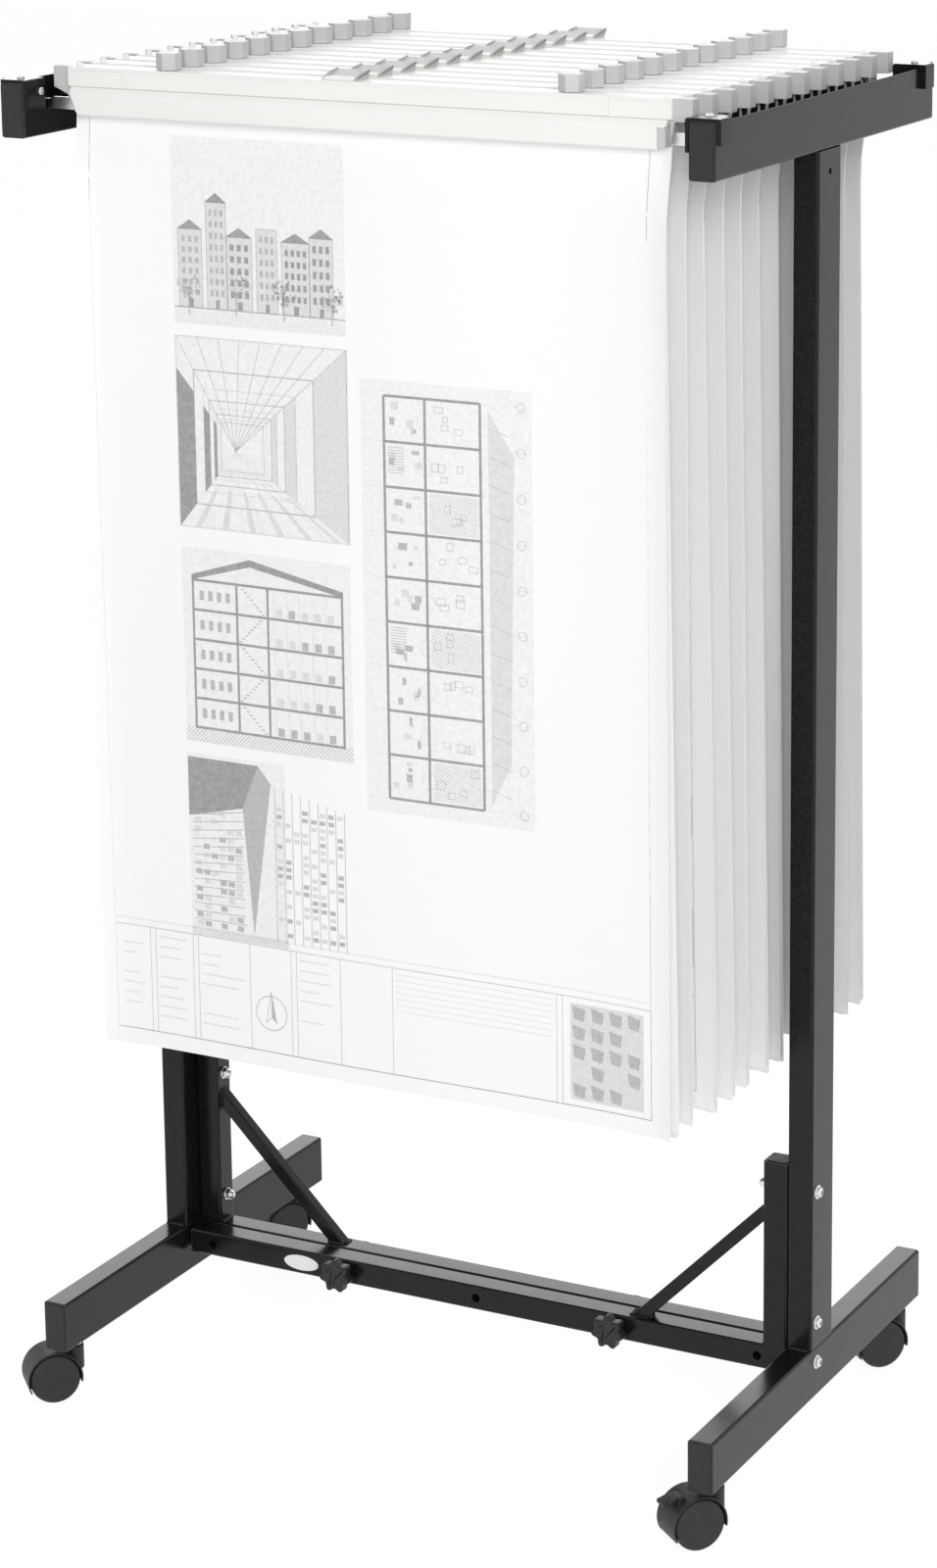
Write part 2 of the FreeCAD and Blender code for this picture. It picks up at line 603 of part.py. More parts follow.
def caster_hood(braked):
    """Hood over both wheels, with the plate between them and the neck that takes the stem."""
    half = CASTER_WIDTH / 2
    axle_at = (0, -CASTER_TRAIL, WHEEL_RADIUS)
    hood = rod(HOOD_RADIUS, (-half, axle_at[1], axle_at[2]), (1, 0, 0), CASTER_WIDTH)
    room = rod(HOOD_RADIUS - HOOD_WALL, (-half - 1, axle_at[1], axle_at[2]), (1, 0, 0), CASTER_WIDTH + 2)
    hood = hood.cut(room)
    reach = HOOD_RADIUS + 5
    below = [
        (-half - 1, axle_at[1] - reach, axle_at[2] - HOOD_FAR_DROP),
        (-half - 1, axle_at[1] + reach, axle_at[2] - HOOD_STEM_DROP),
        (-half - 1, axle_at[1] + reach, -reach),
        (-half - 1, axle_at[1] - reach, -reach),
    ]
    below = prism(below, (CASTER_WIDTH + 2, 0, 0))
    hood = hood.cut(below)
    web = rod(HOOD_RADIUS - HOOD_WALL / 2, (-CASTER_WEB / 2, axle_at[1], axle_at[2]), (1, 0, 0), CASTER_WEB)
    trim_top = axle_at[2] - WHEEL_RADIUS / 2
    web = web.cut(box((-half, axle_at[1] - reach, -reach), (half, axle_at[1] + reach, trim_top)))
    neck_top = FOOT_HEIGHT - COLLAR_THICK - NECK_GAP
    neck_low = WHEEL_RADIUS + 4
    neck = rod(NECK_RADIUS, (0, 0, neck_low), (0, 0, 1), neck_top - neck_low)
    bridge = box((-CASTER_WEB / 2, axle_at[1], neck_low), (CASTER_WEB / 2, 0, neck_top - 2))
    body = hood.fuse(web).fuse(neck).fuse(bridge)
    if braked:
        body = body.fuse(lever_ears())
        body = body.cut(lever_room())
        pin = lever_pin_at()
        body = body.cut(rod(LEVER_PIN / 2 + TURN_GAP / 3, (-half, pin[1], pin[2]), (1, 0, 0), CASTER_WIDTH))
    body = body.cut(caster_wheel_space(half))
    body = body.cut(rod(AXLE / 2 + TURN_GAP, (-half, axle_at[1], axle_at[2]), (1, 0, 0), CASTER_WIDTH))
    body = body.cut(rod(STEM / 2 + TURN_GAP, (0, 0, STEM_LOW - TURN_GAP), (0, 0, 1), FOOT_HEIGHT - STEM_LOW))
    return body.removeSplitter()


def caster_wheel_space(half):
    """Room that the two wheels turn in."""
    rooms = []
    radius = WHEEL_RADIUS + 0.8
    thick = half + 1 - CASTER_WEB / 2
    for side in (-1, 1):
        start = CASTER_WEB / 2 if side > 0 else -half - 1
        rooms.append(rod(radius, (start, -CASTER_TRAIL, WHEEL_RADIUS), (1, 0, 0), thick))
    return Part.makeCompound(rooms)


def lever_pin_at():
    return (0, -CASTER_TRAIL - LEVER_PIN_OUT, WHEEL_RADIUS + LEVER_PIN_UP)


def lever_ears():
    """Two ears on the hood that hold the lever's pin."""
    pin = lever_pin_at()
    ears = []
    for side in (-1, 1):
        near = side * (LEVER_WIDE / 2 + TURN_GAP)
        far = near + side * LEVER_EAR
        low = (min(near, far), pin[1] - LEVER_EAR_HALF, pin[2] - 3 * LEVER_EAR_HALF)
        ears.append(box(low, (max(near, far), pin[1] + LEVER_EAR_HALF, pin[2] + LEVER_EAR_HALF)))
    return ears


def lever_room():
    """Slot in the hood under the brake lever."""
    pin = lever_pin_at()
    wide = LEVER_WIDE / 2 + TURN_GAP
    low = (-wide, pin[1] - LEVER_REACH, pin[2] - 3 * LEVER_EAR_HALF)
    return box(low, (wide, pin[1] + LEVER_EAR_HALF, FOOT_HEIGHT))


def brake_lever():
    """Wedge-shaped pedal that turns on a pin between the hood's ears."""
    pin = lever_pin_at()
    half = LEVER_WIDE / 2
    root = LEVER_PIN / 2 + 1.2
    tip = pin[1] - LEVER_REACH
    corners = [
        (-half, pin[1] + root, pin[2] - LEVER_PIN / 2),
        (-half, pin[1] + root, pin[2] + root),
        (-half, pin[1] - root, pin[2] + root + 1.0),
        (-half, tip, pin[2] - LEVER_DROP + LEVER_THICK),
        (-half, tip, pin[2] - LEVER_DROP),
        (-half, pin[1] - root, pin[2] - LEVER_PIN / 2),
    ]
    pedal = prism(corners, (LEVER_WIDE, 0, 0))
    pin_half = half + TURN_GAP + LEVER_EAR
    return pedal.fuse(rod(LEVER_PIN / 2, (-pin_half, pin[1], pin[2]), (1, 0, 0), 2 * pin_half))


def caster_wheels():
    """Two wheels and their axle, as three solids."""
    pieces = []
    centre_y = -CASTER_TRAIL
    inner = CASTER_WEB / 2 + TURN_GAP
    for side in (-1, 1):
        wheel = Part.makeCylinder(WHEEL_RADIUS, WHEEL_THICK)
        circles = [edge for edge in wheel.Edges if edge.Curve.TypeId == "Part::GeomCircle"]
        wheel = wheel.makeFillet(WHEEL_EASE, circles)
        ring_outer = WHEEL_RADIUS - GROOVE_INSET
        ring = Part.makeCylinder(ring_outer, 2 * GROOVE_DEEP)
        ring = ring.cut(Part.makeCylinder(ring_outer - GROOVE_WIDE, 2 * GROOVE_DEEP))
        ring.translate(V(0, 0, WHEEL_THICK - GROOVE_DEEP))
        wheel = wheel.cut(ring)
        hub = Part.makeCylinder(HUB_RADIUS, HUB_PROUD + HUB_ROOT)
        hub = hub.makeFillet(HUB_EASE, [hub.Edges[0]])
        hub.translate(V(0, 0, WHEEL_THICK - HUB_ROOT))
        wheel = wheel.fuse(hub)
        wheel = wheel.cut(Part.makeCylinder(AXLE / 2 + AXLE_FIT, AXLE_DEEP))
        wheel.Placement = FreeCAD.Placement(V(side * inner, centre_y, WHEEL_RADIUS),
                                            FreeCAD.Rotation(Z_AXIS, V(side, 0, 0)))
        pieces.append(wheel)
    length = 2 * (inner + AXLE_DEEP)
    pieces.append(rod(AXLE / 2, (-length / 2, centre_y, WHEEL_RADIUS), (1, 0, 0), length))
    return pieces


def caster_stem():
    """Stem and collar, fixed in the foot."""
    stem = rod(STEM / 2, (0, 0, STEM_LOW), (0, 0, 1), FOOT_HEIGHT + STEM_REACH - STEM_LOW)
    collar = rod(STEM_COLLAR / 2, (0, 0, FOOT_HEIGHT - COLLAR_THICK), (0, 0, 1), COLLAR_THICK)
    return stem.fuse(collar).removeSplitter()


# ---- hangers --------------------------------------------------------------------------------------
def hanger_place(number):
    """Where the hanger's own origin goes: its end plates' front face, at the rail's top."""
    return V(HANGER_DRIFT * (number - 1), HANGER_FRONT + HANGER_PITCH * (number - 1), RAIL_TOP)


def turn_knob(x):
    """Six-sided knob standing on the beam, with its pin going down into the beam."""
    middle = BEAM_FRONT + BEAM_DEPTH / 2
    knob = regular_prism(TURN_SIDES, TURN_ACROSS, (x, middle, BEAM_TOP + TURN_GAP), (0, 0, 1),
                         TURN_TALL - TURN_GAP)
    top = BEAM_TOP + TURN_TALL
    rim = []
    for edge in knob.Edges:
        if abs(edge.CenterOfMass.z - top) < 0.01:
            rim.append(edge)
    knob = knob.makeFillet(TURN_EASE, rim)
    return knob.fuse(rod(TURN_PIN / 2, (x, middle, BEAM_TOP - TURN_PIN_DEEP), (0, 0, 1), TURN_PIN_DEEP + 1))


def sheet_slot_y():
    """Y of the front face of the sheets, behind the front jaw."""
    return BEAM_FRONT - JAW_PROUD + JAW_DEPTH


def hanger_body(number, loose_knobs):
    """Beam, jaws, end plates, carrying lugs, pegs and index holder, as separate solids that touch."""
    back = BEAM_FRONT + BEAM_DEPTH
    slot = sheet_slot_y()
    jaw_back = back - JAW_BACKSET
    beam = rounded_box((-BEAM_HALF, BEAM_FRONT, BEAM_LOW), (BEAM_HALF, back, BEAM_TOP), "x", BEAM_CORNER)
    for side in (-1, 1):
        middle = BEAM_FRONT + BEAM_DEPTH / 2
        start = (side * TURN_X, middle, BEAM_TOP - TURN_PIN_DEEP - TURN_GAP)
        beam = beam.cut(rod(TURN_PIN / 2 + TURN_GAP, start, (0, 0, 1), TURN_PIN_DEEP + 2))
    front_jaw = jaw_bar(slot)
    rear_low = (-JAW_HALF_LOW, slot + SHEET_PACK, JAW_LOW)
    rear_jaw = box(rear_low, (JAW_HALF_LOW, jaw_back, BEAM_LOW))
    filler_low = (-JAW_HALF_LOW, slot, JAW_LOW + SHEET_GRIP)
    filler = box(filler_low, (JAW_HALF_LOW, slot + SHEET_PACK, BEAM_LOW))
    body = [beam, front_jaw.fuse(filler).fuse(rear_jaw).removeSplitter(), jaw_cap(jaw_back)]
    for side in (-1, 1):
        body.append(end_plate(side))
        body.append(carrying_lug(side))
        body.append(rod(PEG_RADIUS, (side * PEG_X, BEAM_FRONT + PEG_BACK, BEAM_TOP), (0, 0, 1), PEG_TALL))
        if not loose_knobs:
            body.append(turn_knob(side * TURN_X))
    body.append(index_holder(number))
    return body


def jaw_bar(slot):
    """Front jaw: it stands forward of the beam below a sloped ledge, and narrows downwards."""
    face = BEAM_FRONT - JAW_PROUD
    ledge = BEAM_LOW - JAW_PROUD
    section = [
        (0, BEAM_FRONT, BEAM_LOW),
        (0, face, ledge),
        (0, face, JAW_LOW + JAW_EASE),
        (0, face + JAW_EASE, JAW_LOW),
        (0, slot, JAW_LOW),
        (0, slot, BEAM_LOW),
    ]
    bar = prism(section, (JAW_HALF_TOP, 0, 0))
    bar = bar.fuse(bar.mirror(V(0, 0, 0), X_AXIS)).removeSplitter()
    for side in (-1, 1):
        far = side * 2 * JAW_HALF_TOP
        trim = prism([
            (side * JAW_HALF_TOP, 2 * face, ledge),
            (side * JAW_HALF_LOW, 2 * face, JAW_LOW),
            (far, 2 * face, JAW_LOW),
            (far, 2 * face, ledge),
        ], (0, 2 * (slot - face), 0))
        bar = bar.cut(trim)
    room = box((JAW_CAP_START, 2 * face, 2 * JAW_LOW), (2 * JAW_HALF_TOP, 2 * slot, ledge - JAW_CAP_DROP))
    return bar.cut(room)


def jaw_cap(back):
    """Cap that closes the jaws' right-hand end, with rounded front edges."""
    face = BEAM_FRONT - JAW_PROUD
    top = BEAM_LOW - JAW_PROUD - JAW_CAP_DROP
    low = (JAW_CAP_START, face, JAW_LOW + JAW_EASE)
    return rounded_box(low, (JAW_HALF_TOP, back - JAW_CAP_SETBACK, top), "y", JAW_CAP_CORNER)


def end_plate(side):
    """Moulded end plate: a thick tab beside the beam, and below it a thin part that clears the rail."""
    outline = [
        (side * BEAM_HALF, 0, BEAM_TOP),
        (side * PLATE_HALF, 0, BEAM_TOP),
        (side * PLATE_HALF, 0, PLATE_SHOULDER),
        (side * (PLATE_HALF - KNEE_STEP), 0, PLATE_KNEE),
        (side * JAW_HALF_TOP, 0, JAW_LOW + JAW_EASE),
        (side * JAW_HALF_TOP, 0, BEAM_LOW),
        (side * BEAM_HALF, 0, BEAM_LOW),
    ]
    plate = prism(outline, (0, PLATE_THICK, 0))
    inner, outer = sorted((side * BEAM_HALF, side * PLATE_HALF))
    tab = box((inner, 0, PLATE_SHOULDER), (outer, TAB_DEEP, BEAM_TOP))
    return plate.fuse(tab).removeSplitter()


def carrying_lug(side):
    """Steel strip that reaches into the rail's channel and rests on its lip."""
    low = LIP_TOP + LUG_REST_GAP - RAIL_TOP
    start = PLATE_THICK
    inner = side * JAW_HALF_TOP
    corners = [
        (inner, start, low),
        (side * LUG_HALF, start, low),
        (side * LUG_HALF, start, low + LUG_TALL),
        (inner, start, low + LUG_TALL),
    ]
    return prism(corners, (0, LUG_THICK, 0))


def index_holder(number):
    """Sloping holder for an index card on the beam's top, with a triangular web under each end."""
    x = INDEX_X + INDEX_STEP * (number - 1)
    half = INDEX_WIDE / 2
    front = BEAM_FRONT + INDEX_BACK
    back = front + INDEX_REACH
    top = BEAM_TOP + INDEX_RISE
    plate = prism([
        (x - half, front, BEAM_TOP),
        (x - half, back, top),
        (x - half, back, top + INDEX_THICK),
        (x - half, front, BEAM_TOP + INDEX_THICK),
    ], (INDEX_WIDE, 0, 0))
    beam_back = BEAM_FRONT + BEAM_DEPTH
    web_top = BEAM_TOP + INDEX_RISE * (beam_back - front) / INDEX_REACH
    for start in (x - half, x + half - GUSSET_THICK):
        web = prism([
            (start, front, BEAM_TOP),
            (start, beam_back, BEAM_TOP),
            (start, beam_back, web_top),
        ], (GUSSET_THICK, 0, 0))
        plate = plate.fuse(web)
    return plate.removeSplitter()


def sheets(number):
    """The pack of sheets in one hanger, as one flat solid; its top corners clear the jaws' tapered ends."""
    length = SHEET_LENGTH - SHORT_PACKS.get(number, 0.0)
    top = JAW_LOW + SHEET_GRIP
    half = SHEET_WIDTH / 2
    slot = sheet_slot_y()
    pack = box((-half, slot, top - length), (half, slot + SHEET_PACK, JAW_LOW))
    held = box((-JAW_HALF_LOW, slot, JAW_LOW), (JAW_HALF_LOW, slot + SHEET_PACK, top))
    return pack.fuse(held).removeSplitter()


def moved(shape, offset):
    copy = shape.copy()
    copy.translate(offset)
    return copy


# ---- every sub-part -------------------------------------------------------------------------------
def side_frames(parts):
    """Both side frames: the left one is a right one turned half a turn."""
    for hand, dome_rows in DOME_ROWS.items():
        pieces = {
            "foot": [foot()],
            "upright": [upright()],
            "rail": [rail()],
            "post": [post(dome_rows)],
            "brace": [brace()],
            "end_caps": end_caps(),
            "end_stops": [end_stop(-1), end_stop(1)],
            "fasteners": fasteners(dome_rows),
        }
        for name, solids in pieces.items():
            shape = gather(solids)
            parts[hand + "_" + name] = shape if hand == "right" else half_turn(shape)


def cross_tubes(parts):
    parts["front_cross_tube"] = front_cross_tube()
    parts["rear_cross_tube"] = rear_cross_tube()
    parts["label_plate"] = label_plate()
    for name, centre in zip(("left", "right"), CLAMP_XS):
        parts["clamp_knob_" + name] = clamp_knob(centre)
    parts["clamp_washers"] = gather(clamp_washers())


def casters(parts):
    for corner in CASTER_HEADING:
        braked = corner in BRAKED
        parts[corner + "_caster_hood"] = place_caster(caster_hood(braked), corner)
        parts[corner + "_caster_wheels"] = place_caster(gather(caster_wheels()), corner)
        if braked:
            parts[corner + "_brake_lever"] = place_caster(brake_lever(), corner)
    for hand in ("right", "left"):
        stems = [place_caster(caster_stem(), end + "_" + hand) for end in ("front", "rear")]
        parts[hand + "_caster_stems"] = gather(stems)


def hangers(parts):
    """The hangers with their sheets. The first hanger's turn knobs are sub-parts of their own."""
    for number in range(1, HANGER_COUNT + 1):
        place = hanger_place(number)
        tag = "%02d" % number
        parts["hanger_" + tag] = moved(gather(hanger_body(number, number == 1)), place)
        parts["sheets_" + tag] = moved(sheets(number), place)
    for name, side in (("left", -1), ("right", 1)):
        parts["turn_knob_" + name] = moved(turn_knob(side * TURN_X), hanger_place(1))


def main():
    os.makedirs("parts", exist_ok=True)
    parts = {}
    side_frames(parts)
    cross_tubes(parts)
    casters(parts)
    hangers(parts)

    outline = FreeCAD.BoundBox()
    for shape in parts.values():
        outline.add(shape.optimalBoundingBox(False, False))
    shift = V(-round(outline.Center.x, 1), -round(outline.Center.y, 1), 0)
    print("moved by", shift)
    for name, shape in parts.items():
        shape = moved(shape, shift)
        shape.exportStep("parts/" + name + ".step")
        print(name, "solids", len(shape.Solids), "volume", round(shape.Volume, 1))


main()
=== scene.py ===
import math
import random

import bmesh
import bpy
from mathutils import Matrix, Vector


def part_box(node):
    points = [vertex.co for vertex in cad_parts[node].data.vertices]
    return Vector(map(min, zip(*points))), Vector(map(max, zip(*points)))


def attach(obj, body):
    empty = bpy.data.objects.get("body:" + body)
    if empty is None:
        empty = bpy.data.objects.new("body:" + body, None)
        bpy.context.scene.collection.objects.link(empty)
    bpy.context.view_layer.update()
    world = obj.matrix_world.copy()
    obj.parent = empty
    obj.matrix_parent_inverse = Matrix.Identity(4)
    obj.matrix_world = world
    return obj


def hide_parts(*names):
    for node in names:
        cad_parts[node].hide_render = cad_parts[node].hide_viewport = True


# Rolling rack for hanging plan sheets. Pieces are drawn in millimetres from the floor under the
# middle of the closed side frames, x to the right, y to the back, z up. Right-hand pieces become
# left-hand ones by half a turn about the rack's middle.

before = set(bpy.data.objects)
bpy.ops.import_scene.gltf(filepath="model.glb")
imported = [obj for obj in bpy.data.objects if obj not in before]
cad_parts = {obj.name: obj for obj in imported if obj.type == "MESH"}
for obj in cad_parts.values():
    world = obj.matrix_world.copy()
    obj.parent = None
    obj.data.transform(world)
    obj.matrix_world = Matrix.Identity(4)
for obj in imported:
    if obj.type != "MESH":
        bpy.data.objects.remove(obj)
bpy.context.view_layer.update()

MM = 0.001

# ---- sizes, as in the part's source ---------------------------------------------------------------
HALF_WIDTH = 363.5
THIN = 25.4                 # thin side of the flat tube, and the square tube
WALL = 1.6
CORNER = 2.8                # outer corner radius of all tube
SIDE_IN = HALF_WIDTH - THIN
FOOT_LOW, FOOT_TOP, FOOT_HALF = 57.0, 107.8, 245.0
RAIL_LOW, RAIL_TOP, RAIL_HALF = 1257.8, 1308.6, 241.5
LIP_TOP = 1281.8            # top of the rail's inner wall between the stops
CAP = 2.0
CROSS_Z, CROSS_FRONT = 93.0, -25.9
CROSS_LOW, CROSS_TOP = CROSS_Z - THIN / 2, CROSS_Z + THIN / 2
CROSS_MID, CROSS_BACK = -13.2, 25.9
CROSS_FREE = -331.8         # free end of the front cross tube
POST_IN, POST_TOP = 312.7, 291.7
BRACE_Z, BRACE_HALF = 239.7, 6.35
BRACE_FOOT = POST_IN - (BRACE_Z - CROSS_TOP)
BOLT_ROWS = (266.0, 133.4, CROSS_Z)
DOME_ROWS = {"right": 1, "left": 2}
HOLE_PITCH, HOLE_RADIUS = 153.5, 4.5
TRAVEL = 150.0              # width adjustment
STOP_BACK, STOP_END = 212.5, RAIL_HALF + CAP
STOP_THIN, STOP_THICK = 3.2, 5.2
STOP_DROP_IN, STOP_DROP_OUT = 26.6, 19.5
STOP_FLANGE_OUT, STOP_SIDE_SCREW = 20.5, 8.0
STOP_SCREW = (3.75, 2.6)    # head's radius and height
STEM_X, STEM_Y = 350.8, 217.0
HEADINGS = {"front_right": -38.0, "front_left": -45.0, "rear_right": -42.0, "rear_left": -30.0}
BRAKED = ("front_right", "rear_left")
AXLE_Y, AXLE_Z = -22.0, 25.0
HANGERS = 12
PITCH_START, PITCH = -210.0, 37.5
PLATE_HALF, BEAM_HALF, JAW_TOP_HALF, JAW_LOW_HALF = 326.5, 308.5, 304.5, 296.0
DRIFT = 0.7                 # each hanger lies a little further right than the one before
BEAM_LOW, BEAM_TOP, JAW_LOW = -3.9, 14.4, -30.1
TAB_DEEP = 13.0
JAW_CAP_START, JAW_CAP_TOP = 296.5, -10.2
SHEET_TOP, SHEET_BACK = -18.1, 4.85    # sheets' slot in the jaws, from the hanger's corner
SHEET_WIDE, SHEET_LONG = 610.0, 914.0
SHORTER = {8: 30.0}         # packs cut shorter, and by how much
LAYERS = 4                  # sheets in a pack
SWING = {3: 9.0, 4: 8.0, 5: 4.0, 6: 6.5, 7: 4.0, 11: 5.0, 12: 5.0}     # lower edge to the right
PAPER_THICK = 0.00022       # in metres, for the modifier
BORDER_LEFT, BORDER_RIGHT = -291.0, 284.0

right_low, right_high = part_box("right_upright")
TO_FRAME = Vector((right_high.x - HALF_WIDTH * MM, (right_low.y + right_high.y) / 2, 0.0))
HALF_TURN = Matrix.Rotation(math.pi, 4, "Z")


# ---- shapes ---------------------------------------------------------------------------------------
def block(low, high):
    """Plain block between two corners."""
    low, high = Vector(low), Vector(high)
    bm = bmesh.new()
    place = Matrix.Translation((low + high) / 2) @ Matrix.Diagonal((*(high - low), 1.0))
    bmesh.ops.create_cube(bm, size=1.0, matrix=place)
    return bm


def round_off(bm, edges, width, segments=3):
    """Rounds the given edges."""
    bmesh.ops.bevel(bm, geom=edges, offset=width, offset_type="OFFSET", segments=segments,
                    profile=0.5, affect="EDGES", material=-1, clamp_overlap=True)
    return bm


def edges_along(bm, direction):
    """Edges that run along an axis, given by its letter, or along a vector."""
    if isinstance(direction, str):
        direction = Vector([float(name == direction) for name in "xyz"])
    return [edge for edge in bm.edges
            if abs((edge.verts[1].co - edge.verts[0].co).normalized().dot(direction)) > 0.999]


def edges_at(bm, axis, value):
    """Edges that lie in the plane where one coordinate has that value."""
    index = "xyz".index(axis)
    return [edge for edge in bm.edges if all(abs(v.co[index] - value) < 0.01 for v in edge.verts)]


def ease(bm, width, segments=2):
    """Rounds every edge."""
    return round_off(bm, list(bm.edges), width, segments)


def ease_end(bm, axis, value, width, segments=2):
    """Rounds the edges of one flat end."""
    return round_off(bm, edges_at(bm, axis, value), width, segments)


def bar(low, high, axis, radius, segments=5):
    """Block whose four long edges are rounded."""
    bm = block(low, high)
    return round_off(bm, edges_along(bm, axis), radius, segments)


def eased_block(low, high, width, segments=2):
    return ease(block(low, high), width, segments)


def spanned(side, near, far):
    """Stretch of x between two distances from the middle, on one side of it."""
    return sorted((side * near, side * far))


def cylinder(radius, start, end, sides=32, end_radius=None):
    """Round bar or cone from one point to another."""
    start, end = Vector(start), Vector(end)
    run = end - start
    turn = run.to_track_quat("Z", "Y").to_matrix().to_4x4()
    bm = bmesh.new()
    bmesh.ops.create_cone(bm, cap_ends=True, cap_tris=False, segments=sides, radius1=radius,
                          radius2=radius if end_radius is None else end_radius, depth=run.length,
                          matrix=Matrix.Translation((start + end) / 2) @ turn)
    return bm


def pushed(points, run):
    """Solid made by pushing a flat outline along a run."""
    bm = bmesh.new()
    face = bm.faces.new([bm.verts.new(point) for point in points])
    made = bmesh.ops.extrude_face_region(bm, geom=[face], use_keep_orig=True)
    ends = [item for item in made["geom"] if isinstance(item, bmesh.types.BMVert)]
    bmesh.ops.translate(bm, vec=run, verts=ends)
    return bm


def profile(outline, low, high):
    """Solid with a y-z outline, pushed along x from one place to another."""
    return pushed([(low, y, z) for y, z in outline], (high - low, 0, 0))


def turned(points, axis, centre, angle=2 * math.pi, steps=48):
    """Shape turned on a lathe from an outline; a part turn is closed at both ends."""
    bm = bmesh.new()
    verts = [bm.verts.new(point) for point in points]
    edges = [bm.edges.new(pair) for pair in zip(verts, verts[1:])]
    whole = abs(angle - 2 * math.pi) < 1e-6
    if not whole:
        edges.append(bm.edges.new((verts[-1], verts[0])))
    bmesh.ops.spin(bm, geom=verts + edges, cent=centre, axis=axis, angle=angle, steps=steps,
                   use_merge=whole, use_duplicate=False)
    bmesh.ops.remove_doubles(bm, verts=bm.verts, dist=0.001)
    if not whole:
        bmesh.ops.holes_fill(bm, edges=bm.edges, sides=0)
    return bm


def as_mesh(bm, name="shape"):
    """Mesh of a finished shape, which is let go."""
    mesh = bpy.data.meshes.new(name)
    bm.to_mesh(mesh)
    bm.free()
    return mesh


def pour(bm, mesh):
    """Empties a mesh into a shape."""
    bm.from_mesh(mesh)
    bpy.data.meshes.remove(mesh)
    return bm


def move(bm, place):
    bmesh.ops.transform(bm, matrix=place, verts=bm.verts)


def add(bm, shape, place=None):
    """Puts a finished shape into a piece, moved if asked, and lets it go."""
    bmesh.ops.recalc_face_normals(shape, faces=shape.faces)
    if place is not None:
        move(shape, place)
    return pour(bm, as_mesh(shape))


def joined(shapes, place=None):
    """One piece of several shapes."""
    bm = bmesh.new()
    for shape in shapes:
        add(bm, shape, place)
    return bm


def stand(name, data):
    """Puts a new object into the scene."""
    thing = bpy.data.objects.new(name, data)
    bpy.context.scene.collection.objects.link(thing)
    return thing


def carve(bm, cutter):
    """Cuts one closed shape out of another."""
    bodies = []
    for shape in (bm, cutter):
        bmesh.ops.recalc_face_normals(shape, faces=shape.faces)
        bodies.append(stand("shape", as_mesh(shape)))
    cut = bodies[0].modifiers.new("cut", "BOOLEAN")
    cut.operation = "DIFFERENCE"
    cut.solver = "EXACT"
    cut.object = bodies[1]
    graph = bpy.context.evaluated_depsgraph_get()
    graph.update()
    result = pour(bmesh.new(), bpy.data.meshes.new_from_object(bodies[0].evaluated_get(graph)))
    for body in bodies:
        mesh = body.data
        bpy.data.objects.remove(body)
        bpy.data.meshes.remove(mesh)
    return result


def facing(centre, outward, up=(0, 0, 1)):
    """Matrix that puts a shape drawn looking along -z onto a face that looks outward."""
    outward, up = Vector(outward), Vector(up)
    across = up.cross(outward)
    return Matrix.Translation(centre) @ Matrix((across, up, outward)).transposed().to_4x4()


CREASE = math.radians(38.0)     # edges sharper than this stay crisp


def finish_piece(bm, name, body, material, stands_for=None, even=True):
    """Turns a shape into a piece of the object, in metres, riding on its body."""
    bmesh.ops.scale(bm, vec=(MM, MM, MM), verts=bm.verts)
    bmesh.ops.translate(bm, vec=TO_FRAME, verts=bm.verts)
    mesh = as_mesh(bm, name)
    mesh.shade_smooth()
    mesh.set_sharp_from_angle(angle=CREASE)
    mesh.materials.append(material)
    piece = stand(name, mesh)
    if even:
        piece.modifiers.new("even shading", "WEIGHTED_NORMAL").keep_sharp = True
    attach(piece, body)
    if stands_for:
        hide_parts(stands_for)
    return piece


# ---- materials ------------------------------------------------------------------------------------
EVEN = (1.0, 1.0, 1.0)


def node(tree, kind, **values):
    """New shader node with some of its inputs set; an underscore stands for the blank in a name."""
    made = tree.nodes.new("ShaderNode" + kind)
    for name, value in values.items():
        made.inputs[name.replace("_", " ")].default_value = value
    return made


def noise(tree, scale, detail, stretch):
    """Noise over the piece in its own coordinates, stretched along an axis if asked."""
    where = node(tree, "TexCoord")
    mapping = node(tree, "Mapping", Scale=stretch)
    texture = node(tree, "TexNoise", Scale=scale, Detail=detail)
    tree.links.new(where.outputs["Object"], mapping.inputs["Vector"])
    tree.links.new(mapping.outputs["Vector"], texture.inputs["Vector"])
    return texture.outputs["Fac"]


